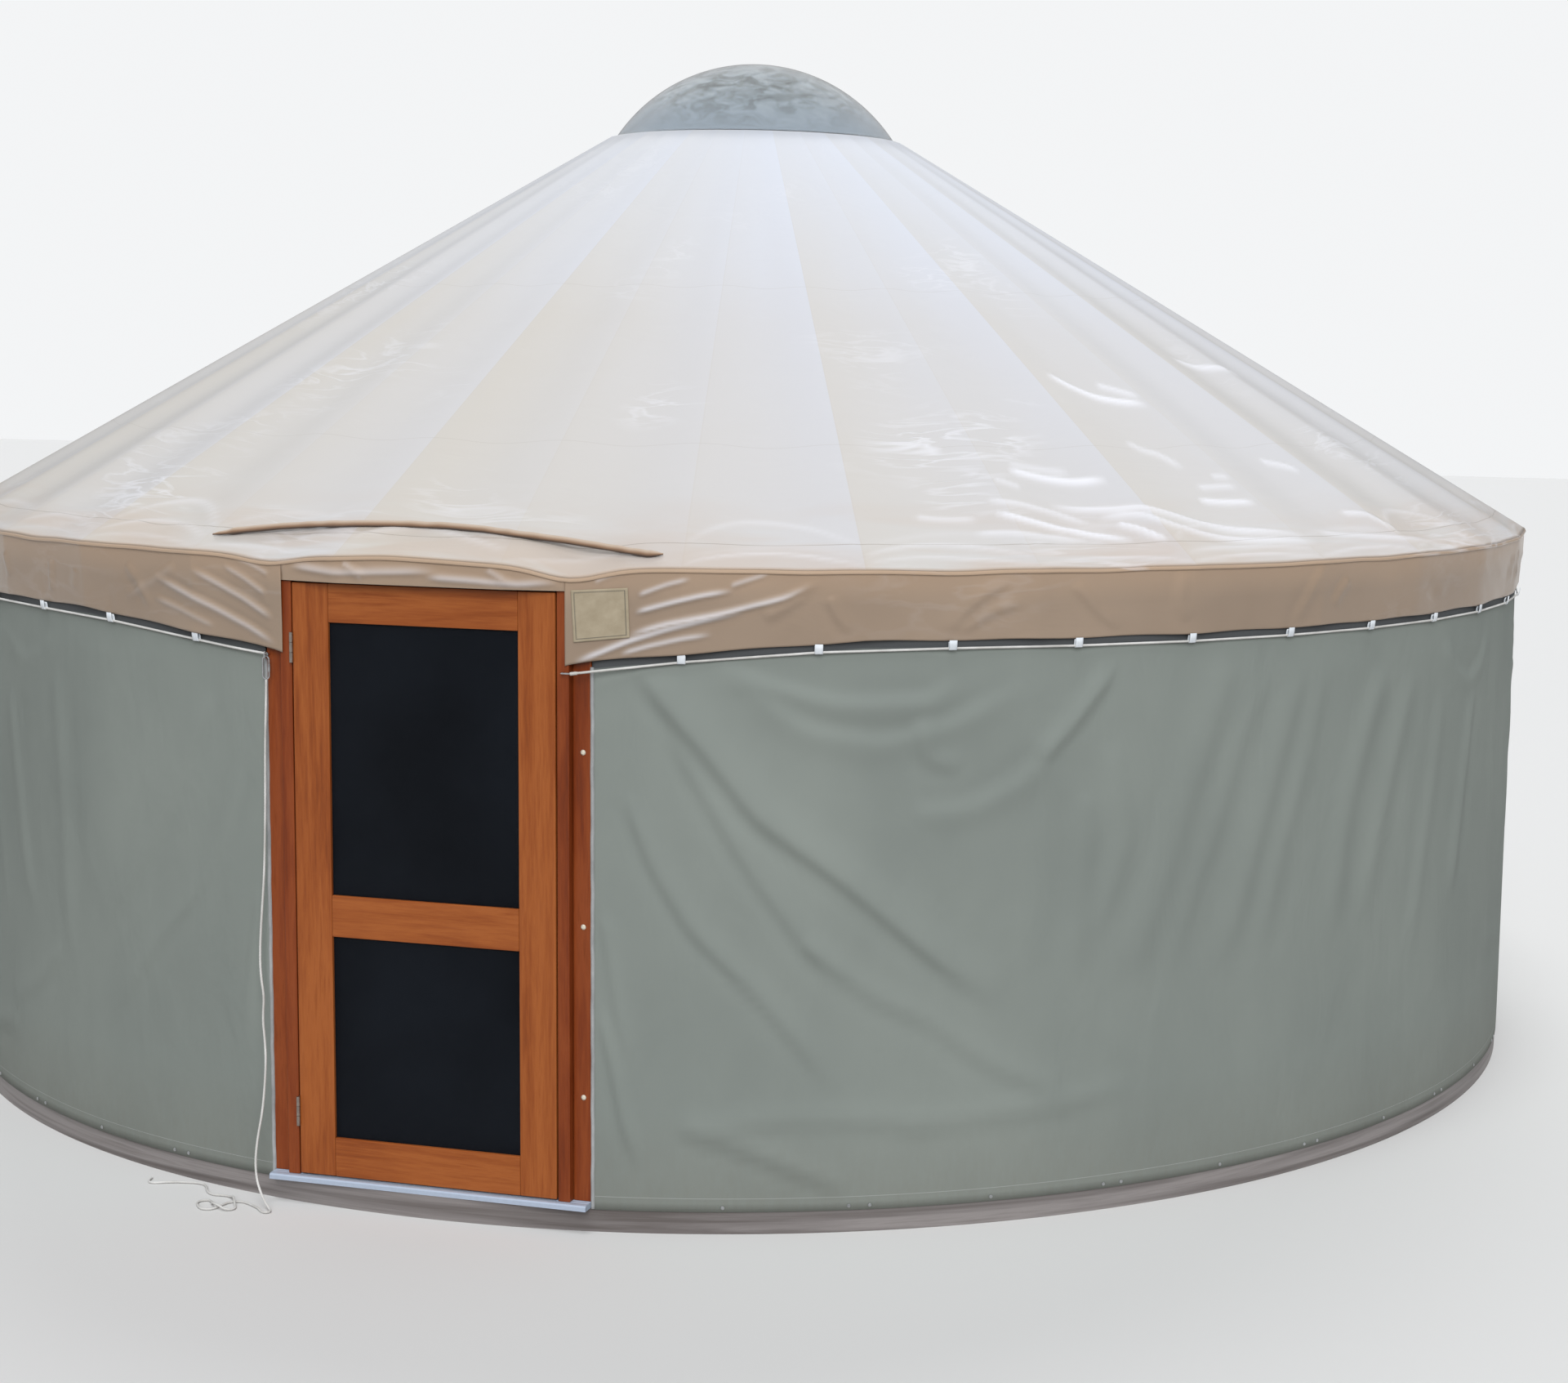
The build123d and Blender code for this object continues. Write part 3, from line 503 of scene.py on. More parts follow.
def roofFabric(name, cloth):
    # Glossy coated cloth with a painted highlight along its creases
    material, tree, shader = newMaterial(
        name, Coat_Weight=cloth["coat"], Coat_Roughness=0.16, Coat_IOR=1.5, Specular_IOR_Level=0.35
    )
    across, down, _ = split(uvCoords(tree))
    clouds = clothNoise(tree, 0.8, 0.7, 4, 0.6)
    slope = cloth is slopeCloth
    tone = slopeTone(tree, across, down, clouds) if slope else hangingTone(down, clouds)
    # Creases: the thin crests of a noise that is drawn out along the cloth, in some places only; they are
    # bumps and also get a painted highlight
    crest = less(clothNoise(tree, *cloth["creases"], 3, 0.5, cloth["twist"]), 0.5)
    crest = mapped(maths("ABSOLUTE", crest), 0.0, 0.055, 1.0, 0.0)
    where = mapped(clothNoise(tree, *cloth["places"], 2, 0.5), cloth["from"], cloth["to"])
    crest = product(crest, where)
    if slope:
        crest = product(crest, mapped(down, 0.3, 2.9, 0.25, 1.0))
    # Painted highlight: the crests and the glint of the folds are painted towards white
    glint = node(tree, "Attribute", {}, attribute_name="glint").outputs["Fac"]
    pale = maths("MAXIMUM", product(crest, cloth["pale"]), glint)
    rough = mapped(solidNoise(tree, 3, 4, 0.6), 0.3, 0.7, 0.30, 0.44)
    feed(shader, Base_Color=blend(pale, tone, rgb(236, 237, 244)), Roughness=rough)
    first = bump(shader, crest, cloth["deep"], 0.004)
    second = bump(shader, noise(objectCoords(tree), 2, 0.5, 0, 220), 0.10, 0.0006, first)
    bump(shader, clothNoise(tree, *cloth["dents"], 3, 0.5, 0.8), 0.4, 0.012, second)
    return material


def timber(name, tones, along, place, gloss=0.4, stretch=14.0):
    # Grain as noise drawn out along one axis, with finer pores and a slow change of tone
    material, tree, shader = newMaterial(name, Specular_IOR_Level=0.3)
    scale = [stretch] * 3
    scale[along] = stretch * 0.07
    streak = noise(objectCoords(tree, scale, place), 6, 0.62, 0.5)
    fine = noise(objectCoords(tree, [value * 9 for value in scale], place), 4, 0.6)
    slow = noise(objectCoords(tree, (1.7, 1.7, 1.7), place), 2, 0.5)
    mixed = summed(product(streak, 0.62), product(fine, 0.22))
    mixed = summed(mixed, product(slow, 0.2))
    stops = list(zip(np.linspace(0.36, 0.68, len(tones)).tolist(), tones))
    rough = mapped(fine, 0.2, 0.8, gloss - 0.07, gloss + 0.12)
    feed(shader, Base_Color=ramp(mixed, stops), Roughness=rough)
    bump(shader, mixed, 0.3, 0.0015)
    return material


def steel(name, colour, roughness, shine=1.0, mottle=0.72):
    # Plated metal with faint blotches and fine scratches
    material, tree, shader = newMaterial(name, Metallic=shine)
    blotch = solidNoise(tree, 60, 4, 0.6)
    dark = tuple(mottle * value for value in colour[:3]) + (1.0,)
    rough = mapped(blotch, 0.3, 0.7, roughness, roughness + 0.16)
    feed(shader, Base_Color=ramp(blotch, [(0.35, dark), (0.65, colour)]), Roughness=rough)
    bump(shader, solidNoise(tree, (900, 900, 90), 2, 0.5), 0.08, 0.0003)
    return material


def cordFabric(name, tones, pitch):
    # Braid: two slanting waves across the cord's own length and turn
    material, tree, shader = newMaterial(name, Roughness=0.85, Sheen_Weight=0.25)
    length, turn, _ = split(uvCoords(tree))
    length, turn = product(length, 2 * pi / pitch), product(turn, 2 * pi * 4)
    slants = [maths("SINE", way(length, turn)) for way in (summed, less)]
    dirt = solidNoise(tree, 9, 4, 0.6)
    feed(shader, Base_Color=ramp(dirt, list(zip((0.35, 0.65), tones))))
    bump(shader, product(*slants), 0.6, 0.0008)
    return material


def clearPlastic():
    # Smoky acrylic, clear and even near its foot and dappled above with water marks and painted reflections
    material, tree, shader = newMaterial("clearPlastic", IOR=1.49, Transmission_Weight=1.0)
    # Dapple: water marks and painted reflections, above the foot only
    marksAndReflections = solidNoise(tree, (9, 9, 20), 5, 0.6, 1.0)
    tones = (rgb(178, 183, 184), rgb(206, 213, 217), rgb(224, 230, 234))
    dappled = ramp(marksAndReflections, list(zip((0.42, 0.50, 0.62), tones)))
    height = split(objectCoords(tree))[2]
    tone = blend(mapped(height, 3.86, 3.98), rgb(204, 212, 219), dappled)
    rough = mapped(solidNoise(tree, 6, 5, 0.65), 0.4, 0.75, 0.02, 0.07)
    feed(shader, Base_Color=tone, Roughness=rough)
    return material


def insectMesh():
    # Fine dark netting: threads every 1.4 mm, and gaps between them that let light through, though little:
    # the gaps are painted nearly opaque and near black, as painted shade of the closed room behind
    material, tree, shader = newMaterial("insectMesh", Roughness=0.6, Specular_IOR_Level=0.12)
    x, _, z = split(objectCoords(tree))
    thread = maths("MAXIMUM", *[stripes(value, 2 * pi / 0.0014) for value in (x, z)])
    cover = maths("GREATER_THAN", thread, 0.15)
    tone = ramp(solidNoise(tree, 2, 3, 0.5), [(0.3, rgb(10, 13, 18)), (0.7, rgb(19, 23, 29))])
    # Painted shade: the gaps between the threads are mostly opaque and dark
    feed(shader, Base_Color=tone, Alpha=summed(product(cover, 0.2), 0.8))
    bump(shader, thread, 0.3, 0.0003)
    return material


honey = [rgb(117, 56, 22), rgb(142, 74, 32), rgb(161, 91, 44), rgb(132, 66, 27)]
redwood = [rgb(96, 40, 15), rgb(119, 53, 21), rgb(136, 67, 31), rgb(106, 47, 18)]
bare = [rgb(168, 132, 92), rgb(192, 156, 112), rgb(208, 176, 132), rgb(182, 146, 102)]
weathered = [rgb(100, 94, 92), rgb(126, 121, 120), rgb(146, 141, 140), rgb(113, 107, 105)]

fabricWall = wallFabric()
fabricRoof = roofFabric("roofFabric", slopeCloth)
fabricValance = roofFabric("valanceFabric", hangingCloth)
whiteCord = cordFabric("whiteCord", (rgb(198, 197, 193), rgb(227, 227, 225)), 0.006)
whiteWebbing = cordFabric("whiteWebbing", (rgb(214, 221, 228), rgb(232, 238, 244)), 0.006)
paleWelt = cordFabric("paleWelt", (rgb(150, 153, 154), rgb(176, 179, 180)), 0.004)
zinc = steel("zincSteel", rgb(196, 198, 200), 0.28)
hingeSteel = steel("hingeSteel", rgb(176, 164, 154), 0.42)
# Pale cream plating, paler than the metal so that the heads show a painted highlight
boltSteel = steel("boltSteel", rgb(236, 230, 212), 0.3, 0.45, 0.9)
clearAcrylic = clearPlastic()
netting = insectMesh()
print("materials ready")


# Free rope: hangs from the snap link and lies on the ground in loose curves

ropeFacts = {
    "diameter": 0.008,
    "length": 2.987,
    "resolution": 40,
    "sides": 12,
    "strands": 3,
    "lay": 0.03,
    "groove": 0.07,
    "lying": 0.0043,
}
# Points along its middle; where the height is left out, the rope lies on the ground
ropeSpots = (
    (-0.564, -3.279, 1.767), (-0.566, -3.28, 1.69), (-0.57, -3.281, 1.59), (-0.5715, -3.283, 1.475),
    (-0.572, -3.285, 1.36), (-0.5745, -3.287, 1.245), (-0.5775, -3.289, 1.13), (-0.5845, -3.2915, 1.03),
    (-0.591, -3.295, 0.93), (-0.594, -3.299, 0.835), (-0.589, -3.302, 0.765), (-0.577, -3.3055, 0.705),
    (-0.581, -3.311, 0.63), (-0.571, -3.316, 0.56), (-0.5655, -3.322, 0.49), (-0.5675, -3.329, 0.405),
    (-0.574, -3.336, 0.318), (-0.588, -3.344, 0.236), (-0.594, -3.353, 0.158), (-0.585, -3.363, 0.096),
    (-0.563, -3.374, 0.052), (-0.543, -3.382, 0.025), (-0.528, -3.388, 0.01), (-0.517, -3.396),
    (-0.511, -3.408), (-0.519, -3.42), (-0.534, -3.419), (-0.549, -3.406), (-0.57, -3.385),
    (-0.607, -3.363), (-0.64, -3.346), (-0.668, -3.347), (-0.69, -3.364), (-0.697, -3.392), (-0.7, -3.424),
    (-0.712, -3.446), (-0.735, -3.452), (-0.758, -3.438), (-0.776, -3.418), (-0.79, -3.398),
    (-0.786, -3.374), (-0.765, -3.363), (-0.745, -3.377, 0.0046), (-0.733, -3.398, 0.009),
    (-0.719, -3.415, 0.016), (-0.686, -3.433, 0.016), (-0.662, -3.438, 0.008), (-0.645, -3.43),
    (-0.638, -3.412), (-0.648, -3.393, 0.0045), (-0.66, -3.378, 0.009), (-0.669, -3.364, 0.016),
    (-0.688, -3.338, 0.016), (-0.702, -3.321, 0.008), (-0.72, -3.308), (-0.747, -3.304), (-0.776, -3.31),
    (-0.803, -3.298), (-0.826, -3.273), (-0.845, -3.243), (-0.867, -3.221), (-0.896, -3.214),
    (-0.935, -3.22), (-0.975, -3.229), (-1.01, -3.244), (-1.036, -3.259), (-1.06, -3.255), (-1.071, -3.235),
    (-1.073, -3.212),
)
ropeRoute = [spot if len(spot) == 3 else (*spot, ropeFacts["lying"]) for spot in ropeSpots]


def splineMesh(route, thickness, sides, resolution):
    # The rings of a bevelled smooth spline through the route, or its bare line when thickness is 0
    curve = bpy.data.curves.new("route", "CURVE")
    curve.dimensions, curve.resolution_u = "3D", resolution
    spline = curve.splines.new("NURBS")
    spline.points.add(len(route) - 1)
    spline.points.foreach_set("co", np.insert(np.asarray(route, float), 3, 1, axis=1).ravel())
    spline.order_u, spline.use_endpoint_u = 3, True
    curve.bevel_depth, curve.bevel_resolution = thickness, sides // 2 - 2
    holder = bpy.data.objects.new("route", curve)
    mesh = bpy.data.meshes.new_from_object(holder)
    points = np.zeros(len(mesh.vertices) * 3)
    mesh.vertices.foreach_get("co", points)
    bpy.data.objects.remove(holder)
    bpy.data.curves.remove(curve)
    bpy.data.meshes.remove(mesh)
    return points.reshape(-1, 3)


def makeFreeRope(facts):
    # Each ring of the spline's tube is pressed in and out by a three-lobed wave that turns
    # once in each lay length, so that the strands wind round the rope
    middle = splineMesh(ropeRoute, 0, 0, facts["resolution"])
    rings = splineMesh(ropeRoute, facts["diameter"] / 2, facts["sides"], facts["resolution"])
    sides = len(rings) // len(middle)
    rings = rings.reshape(len(middle), sides, 3)
    length, turn = lengthAlong(middle)[:, None], fullTurn(sides)[None]
    wave = np.cos(facts["strands"] * (turn - 2 * pi * length / facts["lay"]))
    size = 1 - facts["groove"] * (1 - wave)
    points = middle[:, None] + (rings - middle[:, None]) * size[:, :, None]
    faces, uv = cappedRings(len(middle), sides), together(length, turn / (2 * pi))
    rope = makePiece("freeRope", points, faces, house, whiteCord, uv, ["free_rope"], wrap=(0, 1))


makeFreeRope(ropeFacts)
print("free rope laid")


# Folds of cloth

def foldTable(*rows):
    # Each row: height of the fold, its half width on the left and on the right as one walks
    # along it, all in millimetres, how strong the painted highlight on its crest is in percent, then
    # bearing and height (on the roof, distance from the axis) of points along it
    return [
        (lift / 1000, left / 1000, right / 1000, paintedHighlight / 100, *zip(places[::2], places[1::2]))
        for lift, left, right, paintedHighlight, *places in rows
    ]


def foldDepth(across, along, folds, radius):
    # For each fold, the distance from every point to its broken line, first rounded off:
    # the cloth stands out as a bell of that distance, wider on one side of the line,
    # tapers to nothing at both ends, and dips a little beyond its sharper side
    x, y = np.broadcast_arrays(np.radians(across) * radius, along)
    depth = np.zeros(x.shape)
    for lift, left, right, _, *corners in folds:
        corners = np.asarray(corners, float)
        corners = np.column_stack([np.radians(corners[:, 0]) * radius, corners[:, 1]])
        places = np.linspace(0, len(corners) - 1, 5 * (len(corners) - 1) + 1)
        path = np.stack([np.interp(places, np.arange(len(corners)), c) for c in corners.T], axis=1)
        inner = (path[:-2] + path[1:-1] * 2 + path[2:]) / 4
        path = np.concatenate([path[:1], inner, path[-1:]])
        reach = 3.2 * max(left, right)
        low, high = path.min(0) - reach, path.max(0) + reach
        near = (x > low[0]) & (x < high[0]) & (y > low[1]) & (y < high[1])
        offset = together(x[near], y[near])[:, None] - path[:-1]
        step = np.diff(path, axis=0)
        size = (step**2).sum(1)
        share = np.clip((offset * step).sum(2) / size, 0, 1)
        offset = offset - share[:, :, None] * step
        away = np.hypot(offset[..., 0], offset[..., 1])
        best = away.argmin(1)
        row = np.arange(len(best))
        nearest, offset, away = step[best], offset[row, best], away[row, best]
        side = nearest[:, 0] * offset[:, 1] - nearest[:, 1] * offset[:, 0]
        ends = lengthAlong(path)
        along = (ends[best] + share[row, best] * size[best] ** 0.5) / ends[-1]
        width, narrow = np.where(side > 0, left, right), min(left, right)
        bell = np.exp(-((away / width) ** 2))
        dip = 0.3 * np.exp(-(((away - 2.1 * narrow) / narrow) ** 2)) * (width == narrow)
        taper = np.clip(along * 7, 0, 1) * np.clip((1 - along) * 4, 0, 1)
        depth[near] += lift * (bell - dip) * np.sin(taper * pi / 2)
    return depth


def foldsAndGlint(across, along, folds, radius, sharpness=1):
    # The depth of all the folds, and how much painted highlight the cloth gets on their crests
    depth, glint = np.zeros((2, *np.broadcast(across, along).shape))
    for fold in folds:
        lifted = foldDepth(across, along, [fold], radius)
        depth += lifted
        glint = np.maximum(glint, fold[3] * np.clip(lifted / fold[0], 0, 1) ** sharpness)
    return depth, glint


def spans(*rows):
    # Evenly spaced numbers in each of several spans, finer where the folds are
    return np.concatenate([np.linspace(*row) for row in rows])


def bellAt(value, centre, width):
    # 1 at the centre, falling off on both sides as a bell of this width
    return np.exp(-(((value - centre) / width) ** 2))


def grown(value, start, span):
    # 0 up to the start, 1 after a span, and a straight climb between them
    return np.clip((value - start) / span, 0, 1)


# Wall cover: two lengths of cloth, sewn together at the back, hanging from the lattice

wall = {
    "top": 2.160,
    "foot": 0.075,
    "radius": 3.308,
    "doorBearing": 10.05,
    "thickness": 0.003,
    # start, end and number of columns and rows; False leaves the end to the next span
    "columnSpans": ((10.05, 78, 319, False), (78, 180, 131)),
    "rowSpans": ((0.075, 0.85, 26, False), (0.85, 1.9, 68), (1.93, 2.160, 6)),
    "foldSeed": 21,
    "foldSpacing": 5.2,
    "lastFold": 176,
    "waves": 0.002,
    # the cloth is held flat beside the door and is free after this many degrees
    "doorFade": 0.5,
    # where the folds fade: over this height above the hem, and from here up to there
    "hemFade": 0.09,
    "topFade": (1.80, 1.94),
    # the cloth is pulled straighter round this bearing
    "straight": (92, 6, 0.65),
}
# Folds beside the door, on the right
doorFolds = foldTable(
    (17, 75, 26, 0, 12.5, 1.89, 13.9, 1.76, 16.4, 1.6, 19.3, 1.38, 24.4, 1.16, 29.6, 0.9, 33.5, 0.74),
    (9, 60, 24, 0, 14.1, 1.7, 16.6, 1.44, 19.1, 1.2, 21.9, 0.98, 24, 0.81),
    (9, 45, 20, 0, 11.9, 1.46, 13.5, 1.22, 15.7, 1.01, 19.4, 0.8, 24, 0.47),
    (11, 26, 55, 0, 16.6, 1.88, 19.7, 1.8, 23.8, 1.74, 28.9, 1.745, 30.7, 1.83),
    (8, 26, 55, 0, 18.4, 1.78, 22, 1.65, 26.1, 1.61, 30.3, 1.67, 34.6, 1.8),
    (7, 30, 50, 0, 27.6, 1.38, 31.3, 1.39, 34.7, 1.49, 37.2, 1.64, 39.7, 1.84),
    (10, 50, 24, 0, 35.2, 1.55, 37.2, 1.67, 39.2, 1.8, 40, 1.88),
    (7, 40, 25, 0, 28.2, 1.7, 28.7, 1.57, 30.8, 1.535),
    (9, 55, 75, 0, 48, 1.85, 46.6, 1.63, 45, 1.39, 43.4, 1.11, 41.3, 0.79),
    (7, 40, 60, 0, 50.5, 1.81, 48.8, 1.57, 47.1, 1.29, 45.4, 1.05, 44.1, 0.79),
    (8, 45, 60, 0, 53.6, 1.8, 51.5, 1.44, 50, 1.16, 48.3, 0.86, 47.6, 0.8),
    (6, 40, 50, 0, 55.6, 1.8, 54.3, 1.49, 52.4, 1.18, 50.8, 0.82),
    (9, 50, 60, 0, 62, 1.78, 60, 1.54, 58.2, 1.26, 57.1, 0.82),
    (7, 45, 50, 0, 65.4, 1.75, 63.7, 1.49, 61.8, 1.17, 60.3, 0.86),
    (11, 45, 18, 0, 14.6, 0.36, 18.5, 0.29, 21.3, 0.22, 24.6, 0.14),
    (6, 40, 25, 0, 15.8, 0.35, 21.7, 0.39, 29.3, 0.36),
    (6, 35, 30, 0, 26.9, 0.35, 31.7, 0.37, 37.2, 0.39, 42.1, 0.43),
    (7, 40, 25, 0, 29.2, 0.7, 32.6, 0.55, 37.2, 0.42),
    (9, 20, 16, 0, 10.5, 0.73, 11.2, 0.57, 11.9, 0.36, 12.8, 0.22),
    (6, 22, 18, 0, 10.7, 1.06, 11.4, 0.79, 12.1, 0.57),
    (8, 45, 22, 0, 21.7, 0.98, 25.8, 0.79, 30.1, 0.67),
    (6, 50, 40, 0, 38.3, 1.44, 38.2, 1.16, 37.8, 0.81),
    (6, 40, 40, 0, 39.8, 1.6, 41.1, 1.29, 39.1, 0.94),
)


def scatteredFolds(seed, first, last):
    # Upright folds that lean a little, and shallow swags between them near the top
    draw = np.random.default_rng(seed)
    folds = []
    for start in np.arange(first, last, wall["foldSpacing"]):
        at = start + draw.uniform(-1.6, 1.6)
        power = min(1, 0.45 + (start - 30) / 80)
        top, low, lean = draw.uniform(1.6, 1.86), draw.uniform(0.6, 1.2), draw.normal(-2.0, 2.5)
        route = [
            (at + lean * t + draw.uniform(-0.2, 0.2), top + (low - top) * t) for t in (0, 0.33, 0.66, 1)
        ]
        lift = power * draw.uniform(0.006, 0.014)
        folds.append((lift, draw.uniform(0.03, 0.055), draw.uniform(0.025, 0.05), 0, *route))
        if draw.random() < 0.45:
            wide, deep = draw.uniform(6, 12), draw.uniform(0.10, 0.35)
            swag = [(at + wide * t, 1.84 - deep * 4 * t * (1 - t)) for t in (0, 0.25, 0.5, 0.75, 1)]
            folds.append((power * draw.uniform(0.005, 0.010), 0.025, 0.045, 0, *swag))
        if draw.random() < 0.4:
            base, run = draw.uniform(0.25, 0.6), draw.uniform(5, 11)
            wave = [(at + run * t, base - 0.12 * t + 0.03 * sin(3 * t)) for t in (0, 0.5, 1)]
            folds.append((draw.uniform(0.004, 0.008), 0.04, 0.025, 0, *wave))
    return folds


def makeWall():
    # A cylinder of cloth pushed out by the folds, which fade to nothing at hem and top
    away, height = spans(*wall["columnSpans"])[None], spans(*wall["rowSpans"])[:, None]
    foot, top, reach, start = (wall[key] for key in ("foot", "top", "radius", "doorBearing"))
    arc = np.radians(away) * reach
    weaker = [(lift * 0.7, *rest) for lift, *rest in (doorFolds[k] for k in (1, 2, 17, 19))]
    fadeLow, fadeHigh = wall["topFade"]
    fade = grown(height, foot, wall["hemFade"])
    fade = fade * grown(fadeHigh, height, fadeHigh - fadeLow)
    centre, spread, share = wall["straight"]
    edge = grown(away, start, wall["doorFade"]) * (1 - share * bellAt(away, centre, spread))
    for side, name, first, more, nodes in (
        (1, "wallCoverRight", 70, doorFolds, (1, 2, 3)),
        (-1, "wallCoverLeft", 30, weaker, (4, 5, 6)),
    ):
        folds = scatteredFolds(wall["foldSeed"] + side, first, wall["lastFold"]) + more
        depth = foldDepth(away, height, folds, reach)
        broad = softWaves(np.radians(away) * 3.3 * 3.1, height * 1.1, wall["foldSeed"] * 2 + side, 7, 0.1)
        depth = np.maximum(depth + wall["waves"] * (1.4 + broad), 0)
        points = around(side * away, reach + depth * fade * edge, height)
        faces = gridQuads(*points.shape[:2], flip=side < 0)
        stands = [f"wall_cover_{number}" for number in nodes]
        uv = together(arc, height)
        cover = makePiece(name, points, faces, house, fabricWall, uv, stands)
        thicken(cover, wall["thickness"])


makeWall()
print("wall cover hung")


# Roof cover: flat gores over the rafters, with a little sag between them and soft wrinkles

roof = {
    "gores": 36,
    "holeRadius": 0.600,
    "ringRadius": 0.640,
    "eaveHeight": 2.180,
    "thickness": 0.003,
    "sag": 0.015,
    "rollRadius": 0.007,
    "rollDrop": 0.012,
    # start, end and number of columns and rows; the last rows end at the eave
    "columnSpans": (
        (-175, -35, 112, False), (-35, 15, 90, False), (15, 75, 156, False), (75, 185, 88, False),
    ),
    "rowSpans": ((0.640, 2.12, 12), (2.15, 2.86, 46)),
    "outerRows": (2.875, 38),
    "collarRows": (0.600, 0.612, 0.628),
    # arched creases of every gore: distance from the eave, how far they swing up, half width, height
    "arches": ((0.020, 0.050, 0.012, 0.005), (0.060, 0.085, 0.016, 0.006), (0.115, 0.12, 0.020, 0.005)),
    "wrinkle": 0.007,
    # where the sag, the small wrinkles and the dip at the door begin, and how soon they are whole
    "sagFrom": (0.7, 1.6),
    "wrinkleFrom": (2.4, 0.85),
    "dipFrom": (2.95, 0.4),
    # distance from the axis at which the folds' bearings are turned into lengths
    "foldRadius": 2.9,
    "flatWidth": 7.8,
    "seed": 5,
}
gore = 360 / roof["gores"]
# Creases on the right of the slope
roofFolds = foldTable(
    (6, 21, 20, 90, 46.8, 2.279, 48.1, 2.34, 50.1, 2.405, 52.4, 2.447, 54.7, 2.472),
    (4, 21, 20, 55, 51.5, 2.335, 53, 2.378, 54.7, 2.426),
    (4, 21, 20, 45, 48.7, 2.666, 49.5, 2.712, 50.6, 2.735, 51.7, 2.825),
    (3, 21, 20, 35, 36.9, 2.795, 38.9, 2.812, 41.5, 2.836),
    (6, 21, 20, 85, 36.6, 2.834, 39.1, 2.868, 41.4, 2.89, 43.8, 2.892),
    (3, 17, 16, 40, 35.2, 2.887, 36.9, 2.93),
    (5, 17, 16, 50, 33.8, 2.998, 36.1, 3.019, 38.3, 3.059, 40.5, 3.112),
    (6, 17, 16, 85, 33.9, 3.056, 35.7, 3.099, 37.8, 3.137, 39.9, 3.172, 42.3, 3.205),
    (7, 17, 16, 65, 38.1, 3.013, 39.9, 3.032, 42.7, 3.044, 44.7, 3.044, 46.7, 3.085, 48.7, 3.131, 50.8,
     3.166, 53.7, 3.195, 56, 3.218),
    (6, 17, 16, 60, 40.9, 3.078, 42.9, 3.072, 44.3, 3.082, 45.3, 3.117, 46.8, 3.165, 49.1, 3.205, 52.5,
     3.23, 56.3, 3.25),
    (6, 20, 16, 75, 41.9, 3.113, 43.2, 3.15, 44.5, 3.217),
    (3, 17, 16, 45, 51.1, 2.927, 54.4, 2.943),
    (3, 17, 16, 40, 53.3, 2.881, 54.7, 2.892),
    (5, 17, 16, 75, 50.1, 2.994, 52.2, 3.015, 54.5, 3.032),
    (4, 21, 20, 55, 60.8, 2.787, 62.5, 2.824, 63.6, 2.868),
    (6, 17, 16, 60, 62.2, 3.1, 64.6, 3.12, 65.2, 3.18, 65.6, 3.24),
    (5, 17, 16, 50, 57.1, 3.194, 60.5, 3.222, 65.1, 3.262, 68.7, 3.285),
    (5, 21, 20, 80, 67.7, 2.176, 70.6, 2.217, 75.3, 2.242, 77.3, 2.295),
    (4, 17, 16, 45, 32, 3.162, 34.5, 3.165, 36.7, 3.19, 39.4, 3.206),
    (4, 17, 16, 40, 28.8, 3.064, 30.8, 3.08, 32.8, 3.089),
)
roofLow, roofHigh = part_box("roof_cover_back")
eaveRadius = roofHigh.y / cos(radians(gore / 2))
collarHeight = roofHigh.z
roofSlope = (collarHeight - roof["eaveHeight"]) / (eaveRadius - roof["ringRadius"])


def coneHeight(radius):
    # Height of the roof's slope at a distance from the axis
    return collarHeight - (radius - roof["ringRadius"]) * roofSlope


def facetScale(bearing):
    # Share of the corner radius that the many-sided roof has at a bearing
    offset = np.radians((bearing - gore / 2) % gore - gore / 2)
    return cos(radians(gore / 2)) / np.cos(offset)


def doorDip(bearing):
    # How far the eave is pulled down: most at the right corner of the door, less at the left,
    # and a little up over its middle
    signed = (bearing + 180) % 360 - 180
    corners = 0.036 * bellAt(signed, 9.0, 2.4) + 0.016 * bellAt(signed, -9.6, 2.2)
    return corners - 0.014 * bellAt(signed, -0.8, 4.2)


def archedCreases(bearing, back):
    # Bells round arches that swing up from both lower corners of each gore, of drawn size and skew
    draw = np.random.default_rng(roof["seed"])
    place = (bearing - gore / 2) / gore
    whole, share = np.floor(place).astype(int) % roof["gores"], place % 1
    ends = np.sin(pi * share) ** 0.5
    wrinkle, glint = np.zeros((2, *np.broadcast(bearing, back).shape))
    for start, arch, half, lift in roof["arches"]:
        limits = ((0.3, 1.3), (-0.35, 0.35), (0.3, 1.2))
        reach, skew, power = (draw.uniform(*limit, roof["gores"])[whole] for limit in limits)
        bow = np.sin(pi * share ** (1 + skew)) * reach
        bell = bellAt(back, start + arch * bow, half)
        wrinkle += lift * power * bell * ends
        # Painted highlight on the crests of the arches
        glint = np.maximum(glint, 0.55 * bell**2 * ends * np.clip(power - 0.35, 0, 0.6))
    return wrinkle, glint


